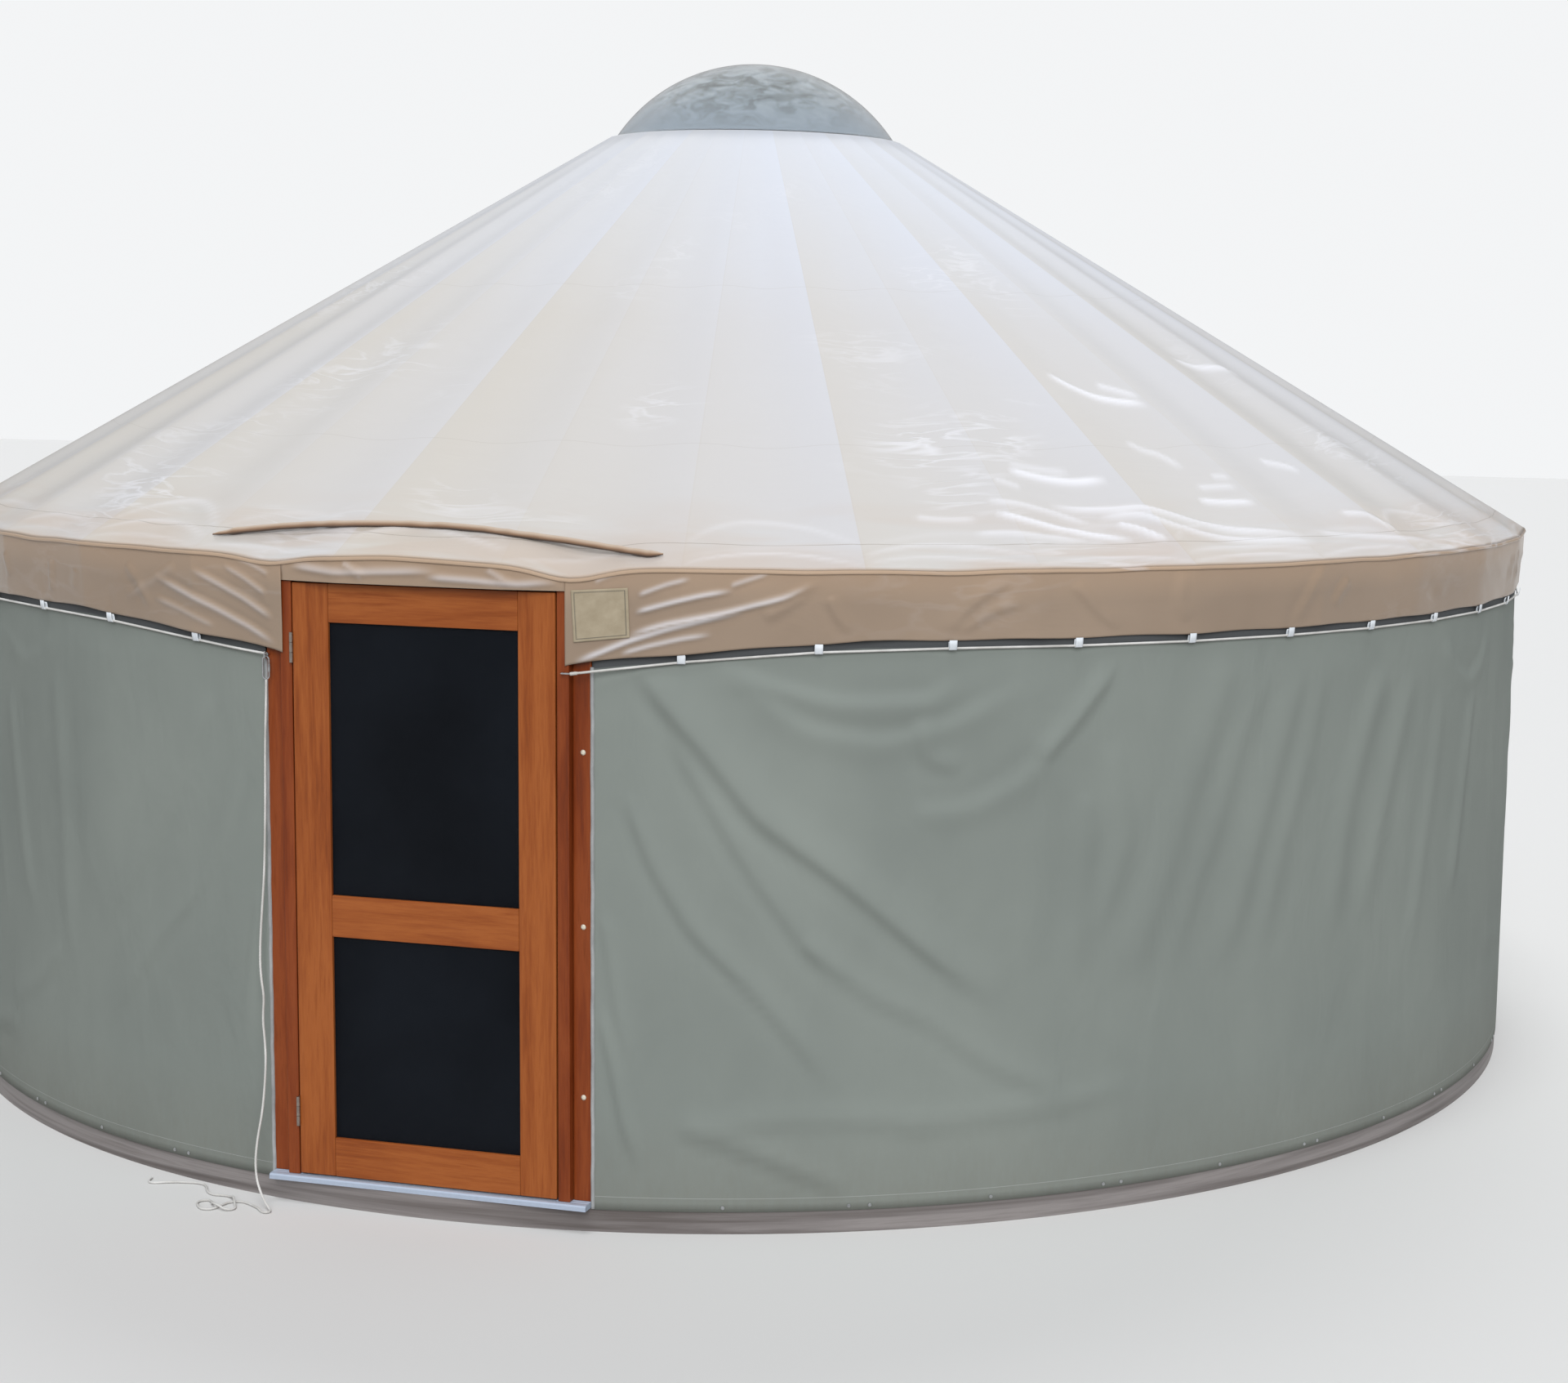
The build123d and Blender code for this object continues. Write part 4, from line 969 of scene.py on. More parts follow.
def makeRoof():
    # Height falls with distance from the axis; the facet scale turns the cone into gores, a
    # squared sine sags each between its ridges, and folds stand out before the cloth rolls over
    # the eave
    bearing = spans(*roof["columnSpans"])[None]
    start, count = roof["outerRows"]
    slopeRows = spans(*roof["rowSpans"], (start, eaveRadius, count))
    radius = np.concatenate([roof["collarRows"], slopeRows])[:, None]
    back = eaveRadius - radius
    middle = np.sin(pi * ((bearing - gore / 2) % gore) / gore) ** 2
    sag = roof["sag"] * middle * grown(radius, *roof["sagFrom"]) * np.clip(back / 0.25, 0.2, 1)
    wrinkle, glint = archedCreases(bearing, back)
    lifted, whitened = foldsAndGlint(bearing, radius, roofFolds, roof["foldRadius"])
    wrinkle, glint = wrinkle + lifted, np.maximum(glint, whitened)
    near = grown(radius, *roof["wrinkleFrom"]) ** 2
    crease = softWaves(np.radians(bearing) * 42, (radius - 3.3) * 30, roof["seed"], 9, 1.2)
    crease = crease * np.clip((180 - np.abs(bearing - gore / 2)) / 4, 0, 1)
    height = np.where(radius < roof["ringRadius"], collarHeight, coneHeight(radius))
    height = height - sag + wrinkle + roof["wrinkle"] * near * crease * 0.35 * middle
    height = height - doorDip(bearing) * grown(radius, *roof["dipFrom"]) ** 2
    grid = around(bearing, radius * facetScale(bearing), height)
    edge, roll, angle = grid[-1:, :, 2], roof["rollRadius"], np.radians([18, 36, 54, 72, 90])[:, None]
    reach = (eaveRadius - 0.004 + roll * np.sin(angle)) * facetScale(bearing)
    rolled = around(bearing, reach, edge - roll * (1 - np.cos(angle)) * 1.1)
    skirt = around(bearing, (eaveRadius + roll * 0.7) * facetScale(bearing), edge - roof["rollDrop"])
    points = np.concatenate([grid, rolled, skirt])
    rows, columns = points.shape[:2]
    glint = np.concatenate([glint, np.zeros((rows - len(glint), columns))])
    uv = together((bearing - gore / 2) / gore, lengthAlong(points[:, 0])[:, None])
    faces = gridQuads(rows, columns, closeColumns=True, flip=True)
    stands = [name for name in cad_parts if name.startswith("roof_cover")]
    cover = makePiece(
        "roofCover", points, faces, house, fabricRoof, uv, stands, glint, (roof["gores"], 0)
    )
    thicken(cover, roof["thickness"])


makeRoof()
print("roof cover stretched")


# Valance: the skirt that hangs from the eave, longest beside the door, with its flap over the door

valance = {
    "doorBearing": 8.6,
    "slopeBearing": 25.0,
    "doorRadius": 3.340,
    "footRadius": 3.328,
    "doorHeight": 1.861,
    "footHeight": roofLow.z,
    "flapHeight": 2.100,
    "flapRadius": 3.341,
    "thickness": 0.003,
    # how far it starts below and inside the eave's edge
    "drop": 0.006,
    "tuck": 0.001,
    "foldRadius": 3.337,
    "ripple": 0.0014,
    # seed, first and last bearing of the small puckers on each side, and the space between them
    "puckers": ((8, 58, 178), (9, -178, -22)),
    "puckerSpacing": 4.1,
    # columns on each side of the door, where the folds are finest, and over the rest
    "nearSpans": ((8.6, 24, 170, False), (24, 58, 170)),
    "restSteps": 360,
    "flapSteps": 80,
    "rows": 40,
    "seed": 11,
    # length and width of the flat cloth
    "flat": (20.0, 0.235),
    "flapFlat": (1.0, 0.075),
}


def valanceFoot(bearing):
    # The lower edge rises quickly from the door and is level from the slope bearing on
    away = np.minimum(bearing % 360, 360 - bearing % 360)
    share = (away - valance["doorBearing"]) / (valance["slopeBearing"] - valance["doorBearing"])
    share = np.clip(share, 0, 1)
    radius = valance["doorRadius"] + (valance["footRadius"] - valance["doorRadius"]) * share
    height = valance["doorHeight"] + (valance["footHeight"] - valance["doorHeight"]) * share**0.75
    return radius, height


# Folds of the valance, of the short flap over the door, and of the valance on the door's left
valanceFolds = foldTable(
    (10, 14, 10, 60, 9, 1.868, 10.6, 1.905, 12.2, 1.945, 14.2, 1.985, 16.2, 2.015, 18.6, 2.045),
    (6, 11, 9, 45, 11.6, 1.9, 13.2, 1.93, 14.9, 1.955, 16.8, 1.972),
    (8, 12, 9, 50, 12, 1.962, 14.2, 2.003, 17.2, 2.037, 20.6, 2.088, 22.2, 2.135),
    (8, 11, 9, 55, 12.4, 2.036, 14.8, 2.076, 16.2, 2.095, 17.9, 2.112),
    (6, 10, 9, 40, 12.6, 2.092, 14.2, 2.128, 15.6, 2.15),
    (6, 10, 9, 30, 17.6, 2.125, 18.6, 2.145, 19.8, 2.168),
    (6, 11, 9, 25, 10.2, 2.13, 11, 2.152, 12.2, 2.175),
    (6, 30, 18, 0, 19.4, 2.02, 21, 2.076, 22.5, 2.153),
    (7, 30, 18, 0, 29.7, 1.974, 30.5, 2.039, 31.8, 2.104, 33.4, 2.15),
    (6, 25, 16, 0, 30.3, 1.973, 32.2, 2.044, 34, 2.072),
    (6, 20, 16, 0, 23, 2.094, 23.5, 2.035, 24.3, 1.976),
    (7, 30, 16, 0, 37.1, 2.133, 38.8, 2.034, 40.2, 1.97),
    (7, 25, 20, 0, 44.1, 2.166, 44, 2.062, 44.5, 1.987),
    (6, 25, 16, 0, 54.9, 2.165, 53.9, 2.064, 52.9, 1.965),
)
flapFolds = foldTable(
    (6, 20, 12, 30, -8, 2.15, -5, 2.132, -2, 2.14, 1.5, 2.15),
    (6, 16, 12, 35, 0.5, 2.13, 3.5, 2.124, 6, 2.116, 8.4, 2.128),
    (5, 14, 14, 20, 4.2, 2.165, 5, 2.14, 5.6, 2.112),
    (5, 14, 14, 20, -4.4, 2.17, -3.6, 2.14, -3.2, 2.112),
)
leftFolds = foldTable(
    (9, 13, 10, 30, -9, 1.885, -10.8, 1.935, -13.2, 1.99, -15.8, 2.04, -18.4, 2.085),
    (8, 12, 10, 25, -9.2, 1.97, -11.2, 2.03, -13.4, 2.082, -15.2, 2.12),
    (7, 11, 9, 20, -9.6, 2.048, -11.2, 2.1, -12.8, 2.14),
    (6, 10, 10, 20, -9.4, 2.115, -10.6, 2.145, -11.9, 2.168),
    (6, 20, 14, 5, -16.4, 2.13, -18.6, 2.06, -21, 2),
    (6, 11, 10, 15, -13.4, 1.93, -15.8, 1.975, -18.4, 2.01),
)


def scatteredPuckers(seed, first, last):
    # Short slanting folds, one or two in each bay between the webbing loops
    draw = np.random.default_rng(seed)
    folds = []
    for start in np.arange(first, last, valance["puckerSpacing"]):
        at, lean = start + draw.uniform(-1.5, 1.5), draw.normal(0.4, 1.3)
        top, low = draw.uniform(2.08, 2.16), draw.uniform(1.97, 2.03)
        size = (draw.uniform(0.003, 0.007), draw.uniform(0.018, 0.032), draw.uniform(0.012, 0.022), 0.0)
        folds.append((*size, (at, top), (at + lean * 0.6, (top + low) / 2), (at + lean, low)))
    return folds


def skirtTop(bearing):
    # Height where the skirt starts, a little below the eave, which dips beside the door
    return roof["eaveHeight"] - valance["drop"] - doorDip(bearing)


def skirtPoints(bearing, footRadius, footHeight, fall, folds, loops=False, proud=0):
    # From the eave at a fall of 0 straight to the foot at 1, drawn in a little between ridges,
    # with folds that fade at both edges and a short pucker where each webbing loop pulls
    top = skirtTop(bearing)
    radius = eaveRadius - valance["tuck"] + (footRadius - eaveRadius + valance["tuck"]) * fall
    height = top + (footHeight - top) * fall
    signed = np.where(bearing > 180, bearing - 360, bearing)
    depth, glint = foldsAndGlint(signed, height, folds, valance["foldRadius"], 1.7)
    if loops:
        spacing = drawRope["loopSpacing"]
        depth -= 0.004 * bellAt((bearing + spacing / 2) % spacing, spacing / 2, 0.35) * fall**3
        height = height + 0.004 * np.sin(pi * bearing / spacing) ** 2 * fall**4
    ripple = softWaves(np.radians(bearing) * 30, (1 - fall) * 3.2, valance["seed"], 10, 0.75)
    depth = depth + valance["ripple"] * ripple
    depth = depth * np.sin(pi * np.clip(fall * 0.96 + 0.02, 0, 1)) ** 0.55
    return around(bearing, radius * facetScale(bearing) + depth + proud, height), glint


def makeSkirt(name, bearing, footRadius, footHeight, folds, stands, flat, loops=False):
    # Rows of points from the eave down to the foot, evenly spaced, over all the bearings
    fall = np.broadcast_to(np.linspace(0, 1, valance["rows"])[:, None], (valance["rows"], bearing.size))
    points, glint = skirtPoints(bearing, footRadius, footHeight, fall, folds, loops)
    uv = together(np.radians(bearing) * 3.3, fall * (roof["eaveHeight"] - footHeight))
    faces = gridQuads(*points.shape[:2], flip=True)
    skirt = makePiece(name, points, faces, house, fabricValance, uv, stands, glint)
    thicken(skirt, valance["thickness"])


def makeValance():
    # One skirt from the right of the door round the back to its left, and a short one over the door
    near = spans(*valance["nearSpans"])
    rest = np.linspace(near[-1], 360 - near[-1], valance["restSteps"])[1:-1]
    bearing = np.concatenate([near, rest, 360 - near[::-1]])[None]
    nodes = ("valance_front_left", "valance_front_right")
    folds = valanceFolds + leftFolds
    for puckers in valance["puckers"]:
        folds += scatteredPuckers(*puckers)
    makeSkirt("valance", bearing, *valanceFoot(bearing), folds, nodes, valance["flat"], True)
    bearing = np.linspace(-near[0], near[0], valance["flapSteps"])[None]
    foot = (valance["flapRadius"], np.full(bearing.shape, valance["flapHeight"]))
    makeSkirt("valanceFlap", bearing, *foot, flapFolds, ["valance_flap"], valance["flapFlat"])


# Plain sewn patch on the valance beside the door, with a stitched border

patch = {
    # bearing and height of its corners, from the top left clockwise
    "corners": ((8.95, 2.104), (12.1, 2.116), (12.2, 1.958), (9.1, 1.938)),
    "steps": 40,
    "proud": 0.0042,
    "thickness": 0.0012,
}


def patchCloth():
    # Khaki canvas with a stitch line inside its edge
    material, tree, shader = newMaterial("patchCloth", Roughness=0.6, Specular_IOR_Level=0.3)
    sides = split(uvCoords(tree))[:2]
    clouds = clothNoise(tree, 3, 3, 4, 0.6)
    tone = ramp(clouds, [(0.3, rgb(158, 146, 124)), (0.7, rgb(176, 164, 142))])
    inner = [maths("MINIMUM", side, less(1.0, side)) for side in sides]
    border = line(maths("MINIMUM", *inner), 0.055, 0.011)
    waves = summed(*[stripes(side, 190.0) for side in sides])
    dash = maths("GREATER_THAN", waves, -0.6)
    feed(shader, Base_Color=blend(product(border, dash), tone, rgb(98, 96, 86)))
    bump(shader, product(*[stripes(side, 700.0) for side in sides]), 0.3, 0.0003)
    return material


def makePatch():
    # Bearing and height run between the four corners, and the cloth lies on the valance's folds
    u, v = np.meshgrid(*[np.linspace(0, 1, patch["steps"])] * 2)
    corners = np.array(patch["corners"])
    above, below = (corners[a] * (1 - u)[..., None] + corners[b] * u[..., None] for a, b in ((0, 1), (3, 2)))
    bearing, height = np.moveaxis(above * (1 - v)[..., None] + below * v[..., None], -1, 0)
    footRadius, footHeight = valanceFoot(bearing)
    fall = (skirtTop(bearing) - height) / (skirtTop(bearing) - footHeight)
    points, _ = skirtPoints(bearing, footRadius, footHeight, fall, valanceFolds, proud=patch["proud"])
    faces = gridQuads(*u.shape, flip=True)
    thicken(
        makePiece("sewnPatch", points, faces, house, patchCloth(), together(u, v)),
        patch["thickness"],
    )


# Rope that draws the valance in, threaded through webbing loops

drawRope = {
    "radius": 0.0040,
    "distance": 3.322,
    "drop": 0.024,
    "loopSpacing": 7.5,
    "sides": 12,
    "stepsPerSpan": 24,
    # over how many steps the rope rises to the eye, and how far
    "eyeRise": (18, 0.004),
    "hookEnd": (0.522, -3.300, 1.839),
    "eyeEnd": (-0.564, -3.279, 1.850),
    "loopWidth": 0.026,
    "loopThickness": 0.0016,
}


def ropeLine():
    # Straight runs from hook to loop to loop and on to the screw eye
    bearings = drawRope["loopSpacing"] * np.arange(2, 47)
    _, foot = valanceFoot(bearings)
    corners = around(bearings, drawRope["distance"], foot - drawRope["drop"])
    return bearings, np.concatenate([[drawRope["hookEnd"]], corners, [drawRope["eyeEnd"]]])


def makeDrawRope():
    # A round rope along the straight runs, which rises a little to the eye at its end
    _, corners = ropeLine()
    places = np.arange(len(corners))
    fine = np.linspace(0, places[-1], places[-1] * drawRope["stepsPerSpan"] + 1)
    path = np.stack([np.interp(fine, places, corners[:, k]) for k in range(3)], axis=1)
    steps, rise = drawRope["eyeRise"]
    path[-steps:, 2] += rise * np.linspace(0, 1, steps) ** 2
    points, faces, uv = tube(path, drawRope["radius"], drawRope["sides"], (0, 0, 1))
    makePiece("valanceRope", points, faces, house, whiteCord, uv, ["valance_rope"])


def makeLoops():
    # A strip bent round the rope and up both faces of the valance's edge
    bearings, corners = ropeLine()
    turn = np.linspace(0, pi, 11)
    ring, drop = drawRope["radius"] + 0.0012, drawRope["drop"]
    outside = [(0.0090, drop + 0.003), (0.0080, drop * 0.5), (0.0062, 0.002)]
    inside = [(-0.0060, 0.003), (-0.0050, drop * 0.5), (-0.0015, drop - 0.003)]
    profile = np.concatenate([outside, together(ring * np.cos(turn), -ring * np.sin(turn)), inside])
    across = np.linspace(-0.5, 0.5, 5) * drawRope["loopWidth"]
    strip = together(across, profile[:, None, 0], profile[:, None, 1]).reshape(-1, 3)
    turns = facingTurns(bearings, drawRope["distance"], corners[1:-1, 2])
    parts = placed(strip, gridQuads(len(profile), 5).tolist(), turns)
    loops = joined("webbingLoops", parts, house, whiteWebbing, even=False)
    thicken(loops, drawRope["loopThickness"], 0)


def makeRopeEnd():
    # A pale sleeve pressed on to the rope where it is hooked
    _, corners = ropeLine()
    ahead = unit(corners[1] - corners[0])
    along = np.array([-0.004, -0.003, 0.001, 0.017, 0.020, 0.021])
    sizes = np.array([0.0035, 0.0052, 0.0056, 0.0056, 0.0052, 0.0043])
    points, faces, uv = tube(corners[0] + along[:, None] * ahead, sizes, 20, (0, 0, 1))
    makePiece("ropeEndSleeve", points, faces, house, whiteCord, uv)


makeValance()
makePatch()
print("valance hung")


# Dome

domeLow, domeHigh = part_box("dome")
dome = {"radius": 0.6122, "flange": 0.0135, "thickness": 0.006, "rows": 26, "sides": 144}


def makeDome():
    # A cap of a sphere: the inner arc down from the axis, the flat flange round its foot, the
    # outer arc back up, and a small flat face at the axis on both
    foot, thickness, edge = domeLow.z, dome["thickness"], dome["radius"] + dome["flange"]
    flangeTop = foot + thickness
    rise = domeHigh.z - flangeTop
    sphere = (dome["radius"] ** 2 + rise**2) / (2 * rise)
    centre = domeHigh.z - sphere
    share = np.linspace(1, 0.02, dome["rows"])
    arcs = []
    for radius, level, steps in ((sphere - thickness, foot, share[::-1]), (sphere, flangeTop, share)):
        turn = steps * np.arccos((level - centre) / radius)
        arcs.append(together(radius * np.sin(turn), centre + radius * np.cos(turn)))
    profile = np.concatenate([arcs[0], [(edge, foot), (edge, flangeTop)], arcs[1]])
    points, faces = lathe(profile, dome["sides"])
    makePiece("domeCap", points, faces, house, clearAcrylic, stands=["dome"])


makeDome()
print("dome set")


# Rain diverter: a rolled welt over the door whose ends narrow to upturned points

diverter = {
    # bearing and distance of its middle line
    "route": (
        (-14.8, 3.264), (-12.9, 3.227), (-10.2, 3.199), (-7.5, 3.178), (-4.8, 3.166), (-2.2, 3.162),
        (1.0, 3.162), (3.1, 3.174), (5.2, 3.192), (8.3, 3.218), (11.2, 3.252), (13.2, 3.282), (14.1, 3.272),
    ),
    "width": 0.013,
    "height": 0.0105,
    "sides": 20,
    "steps": 150,
    "lift": 0.009,
    "shift": 0.012,
    # share of the length over which each end narrows
    "taper": 0.06,
    "ripple": 0.0006,
}


def weltFabric():
    # The roof's cloth, painted light along the top of the roll and painted shadow under it
    material, tree, shader = newMaterial("weltFabric", Roughness=0.42, Coat_Weight=0.3, Coat_Roughness=0.2)
    mottle = product(less(clothNoise(tree, 7, 2, 4, 0.6), 0.5), 0.08)
    place = summed(split(uvCoords(tree))[1], mottle)
    # Painted light on the top of the roll, painted shadow under it, its edge mottled by noise
    tones = (rgb(186, 166, 147), rgb(140, 110, 86), rgb(72, 53, 41), rgb(84, 66, 52))
    feed(shader, Base_Color=ramp(place, list(zip((0.28, 0.42, 0.52, 0.95), tones))))
    bump(shader, clothNoise(tree, 45, 3, 3, 0.5), 0.4, 0.003)
    return material


def makeDiverter():
    # An oval carried along the route, lying on the roof; it narrows over the last few centimetres
    route, share = np.array(diverter["route"]), np.linspace(0, 1, diverter["steps"])
    places = np.linspace(0, 1, len(route))
    eased = [np.convolve(np.pad(values, 1, mode="edge"), (0.2, 0.6, 0.2), "valid") for values in route.T]
    bearing, radius = (np.interp(share, places, values)[:, None] for values in eased)
    radius = radius + diverter["shift"]
    share = share[:, None]
    size = np.clip(np.minimum(share, 1 - share) / diverter["taper"], 0.12, 1) ** 0.6
    tilt, turn = np.arctan(roofSlope), fullTurn(diverter["sides"])
    across = diverter["width"] * size * np.cos(turn)
    up = diverter["height"] * size * np.sin(turn) + diverter["lift"]
    radial = radius * facetScale(bearing) - across * np.cos(tilt) + up * np.sin(tilt)
    level = coneHeight(radius) + across * np.sin(tilt) + up * np.cos(tilt)
    ripple = diverter["ripple"] * np.sin(share * 120) * np.sin(turn) * (1 + np.sin(share * 31))
    points = around(bearing, radial + ripple, level + ripple)
    uv = together(np.radians(bearing) * radius, turn[None] / (2 * pi))
    makePiece(
        "rainWelt",
        points,
        cappedRings(len(share), len(turn)),
        house,
        weltFabric(),
        uv,
        ["rain_diverter"],
        wrap=(0, 1),
    )


makeDiverter()
print("rain diverter sewn on")


# Pale welts that close the wall cover beside the door

welt = {
    "radius": 0.0065,
    "inset": 0.0015,
    "bearing": 10.05,
    "low": 0.078,
    "high": 1.858,
    "sides": 16,
    "steps": 160,
}


def makeWelts():
    # A round welt up each door-side edge of the wall cover, a little wavy as sewn cloth is
    height = np.linspace(welt["low"], welt["high"], welt["steps"])
    parts = []
    for side in (-1, 1):
        path = around(side * welt["bearing"], wall["radius"] - welt["inset"], height)
        path[:, 0] += 0.0006 * np.sin(height * 23 + side) + 0.0004 * np.sin(height * 57)
        parts.append(tube(path, welt["radius"], welt["sides"], (0, 1, 0)))
    joined("edgeWelts", parts, house, paleWelt, ["edge_piping"], even=False)


makeWelts()
makeDrawRope()
makeLoops()
makeRopeEnd()
print("valance rope threaded")


# Screws along the hem of the wall cover, single and in pairs by turns, on the platform's rim

screws = {
    "radius": 0.0065,
    "height": 0.0035,
    "sides": 12,
    "spacing": 7.75,
    "pairHalf": 0.6,
    "level": 0.090,
    "first": 17.4,
    "count": 22,
    "proud": 0.0005,
}


def makeHemScrews():
    # Low round heads, closed at the top by a small flat
    bearings = []
    for side in (-1, 1):
        for number in range(screws["count"]):
            middle = screws["first"] + number * screws["spacing"]
            pair = (number + (side < 0)) % 2 == 1
            shifts = (-screws["pairHalf"], screws["pairHalf"]) if pair else (0,)
            bearings += [side * (middle + shift) for shift in shifts]
    radius, height = screws["radius"], screws["height"]
    outline = [(radius, 0), (radius, height * 0.35), (radius * 0.8, height * 0.78), (radius * 0.35, height)]
    head = lathe(outline, screws["sides"], axis=1)
    turns = facingTurns(np.array(bearings), wall["radius"] + screws["proud"], screws["level"])
    joined("hemScrews", placed(*head, turns), house, zinc, even=False)


makeHemScrews()
print("hem screwed down")


# Door frame: casing strips, jambs behind them, the head across and a metal sill below

stileLow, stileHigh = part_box("leaf_stile_left")
jambLow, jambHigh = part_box("door_jamb_right")
headLow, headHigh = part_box("door_head")
sillLow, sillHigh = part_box("door_sill")
casing = {
    "inner": 0.467,
    "outer": 0.508,
    "groove": 0.003,
    "grooveDepth": 0.034,
    "setback": 0.028,
    "stopInner": 0.454,
    "stopFront": -3.2457,
    # how far members run into each other, and how far the stop keeps back from a face
    "lap": 0.004,
    "shy": 0.0004,
    "headRise": 0.013,
    "stopDepth": 0.016,
}
honeyUp = timber("honeyTimber", honey, 2, (0.13, 0.4, 0.2))
honeyAcross = timber("honeyRail", honey, 0, (0.7, 0.2, 0.5))
redUp = timber("redTimber", redwood, 2, (0.3, 0.9, 0.1))
redAcross = timber("redRail", redwood, 0, (0.1, 0.3, 0.8))
aluminium = steel("sillAluminium", rgb(188, 202, 222), 0.40, 0.35, 0.94)


def mirrored(side, near, far):
    # The lower and upper edge of a member on the right, or of its mirror image on the left
    return (near, far) if side > 0 else (-far, -near)


def makeFrame():
    # Each member is a board with softened edges
    front, back, right = jambLow.y, jambHigh.y, jambHigh.x
    inner, outer, stop, stopFront = (casing[key] for key in ("inner", "outer", "stopInner", "stopFront"))
    grooveEnd, setback = front + casing["grooveDepth"], front + casing["setback"]
    lap, shy = casing["lap"], casing["shy"]
    members = (
        (inner, outer, front, grooveEnd + lap),
        (outer + casing["groove"], right, setback, grooveEnd + lap),
        (inner, right - shy, grooveEnd, back),
        (stop, inner + lap, stopFront, back - shy),
    )
    for side, name in ((-1, "left"), (1, "right")):
        parts = [
            board(rectangle(*mirrored(side, *edges), first, last), jambLow.z, jambHigh.z, 2, 0.0025)
            for *edges, first, last in members
        ]
        joined(f"doorJamb_{name}", parts, house, redUp, [f"door_jamb_{name}"])
    low, high = headLow.z, headHigh.z
    foot = low + casing["headRise"]
    parts = [
        board(rectangle(setback, back, foot, high), headLow.x, headHigh.x, 0, 0.003),
        board(rectangle(front, grooveEnd + lap, foot, high), -outer, outer, 0, 0.003),
        board(rectangle(stopFront, back - shy, low, low + casing["stopDepth"]), -stop, stop, 0, 0.002),
    ]
    joined("doorHead", parts, house, redAcross, ["door_head"])


def makeSill():
    # A flat bar with a rounded nosing and four shallow treads along it
    front, low, high = sillLow.y, sillLow.z, sillHigh.z
    nosing = [(front, low), (front, high - 0.006), (front + 0.004, high - 0.0015), (front + 0.012, high)]
    groove = ((-0.003, 0), (-0.002, 0.0012), (0.002, 0.0012), (0.003, 0))
    middles = np.linspace(front + 0.026, front + 0.074, 4)
    treads = [(middle + across, high - dip) for middle in middles for across, dip in groove]
    outline = [*nosing, *treads, (sillHigh.y, high), (sillHigh.y, low)]
    points = [(x, y, z) for x in (sillLow.x, sillHigh.x) for y, z in outline]
    faces = cappedRings(2, len(outline), flip=True)
    makePiece("doorSill", points, faces, house, aluminium, stands=["door_sill"], smooth=False)


makeFrame()
makeSill()
print("door frame built")


# Screen door leaf

leaf = {
    "bottomRail": 0.132,
    "lowerScreen": 0.685,
    "middleRail": 0.139,
    "topRail": 0.128,
    "stile": 0.128,
    "netSetback": 0.012,
    "netThickness": 0.0012,
    "netLap": 0.004,
    "joint": 0.0003,
}


def makeLeaf():
    # Stiles run the whole height; rails stand between them with a hairline joint at each end
    low, high, front, back, half = stileLow.z, stileHigh.z, stileLow.y, stileHigh.y, -stileLow.x
    inner = half - leaf["stile"]
    for side, name in ((-1, "left"), (1, "right")):
        part = board(rectangle(*mirrored(side, inner, half), front, back), low, high, 2)
        joined(f"leafStile_{name}", [part], door, honeyUp, [f"leaf_stile_{name}"])
    lower = low + leaf["bottomRail"]
    middle = lower + leaf["lowerScreen"]
    upper, top = middle + leaf["middleRail"], high - leaf["topRail"]
    for name, first, last in (("bottom", low, lower), ("middle", middle, upper), ("top", top, high)):
        part = board(rectangle(front, back, first, last), -inner + leaf["joint"], inner - leaf["joint"], 0)
        joined(f"leafRail_{name}", [part], door, honeyAcross, [f"leaf_{name}_rail"])
    net, lap = front + leaf["netSetback"], leaf["netLap"]
    outline = rectangle(-inner - lap, inner + lap, net, net + leaf["netThickness"])
    openings = ((lower, middle), (upper, top))
    nets = [board(outline, first - lap, last + lap, 2, 0.0003) for first, last in openings]
    joined("leafScreens", nets, door, netting, ["leaf_screens"], even=False)


makeLeaf()
print("screen door leaf built")


# Hinges, bolts, hook, screw eye and snap link

hardware = {
    "hingeHeights": (0.320, 1.880),
    "hingeAxis": (-0.4645, -3.2923),
    "knuckle": 0.006,
    "hingeLength": 0.100,
    "hingeGap": 0.0003,
    "plate": 0.0018,
    "plateDepth": 0.030,
    # x of the jamb plate's left face and of the leaf plate's right face
    "plateEdges": (-0.467, -0.462),
    "boltHeights": (1.582, 1.013, 0.448),
    "boltX": 0.545,
    "boltRadius": 0.009,
    # points along the hook's wire
    "hook": (
        (0.488, -3.284, 1.839), (0.488, -3.297, 1.839), (0.4885, -3.2995, 1.839), (0.491, -3.300, 1.839),
        (0.5205, -3.300, 1.839),
    ),
    "hookRadius": 0.003,
    "eye": (-0.564, -3.279, 1.850),
    "eyeRadius": 0.011,
    "wire": 0.0025,
    "linkLength": 0.080,
    "linkWidth": 0.028,
}


def barrel(low, high):
    # One knuckle with softened rims
    radius, soft = hardware["knuckle"], 0.0008
    outline = [(radius - soft, low), (radius, low + soft), (radius, high - soft), (radius - soft, high)]
    return lathe(outline, 32, (*hardware["hingeAxis"], 0))


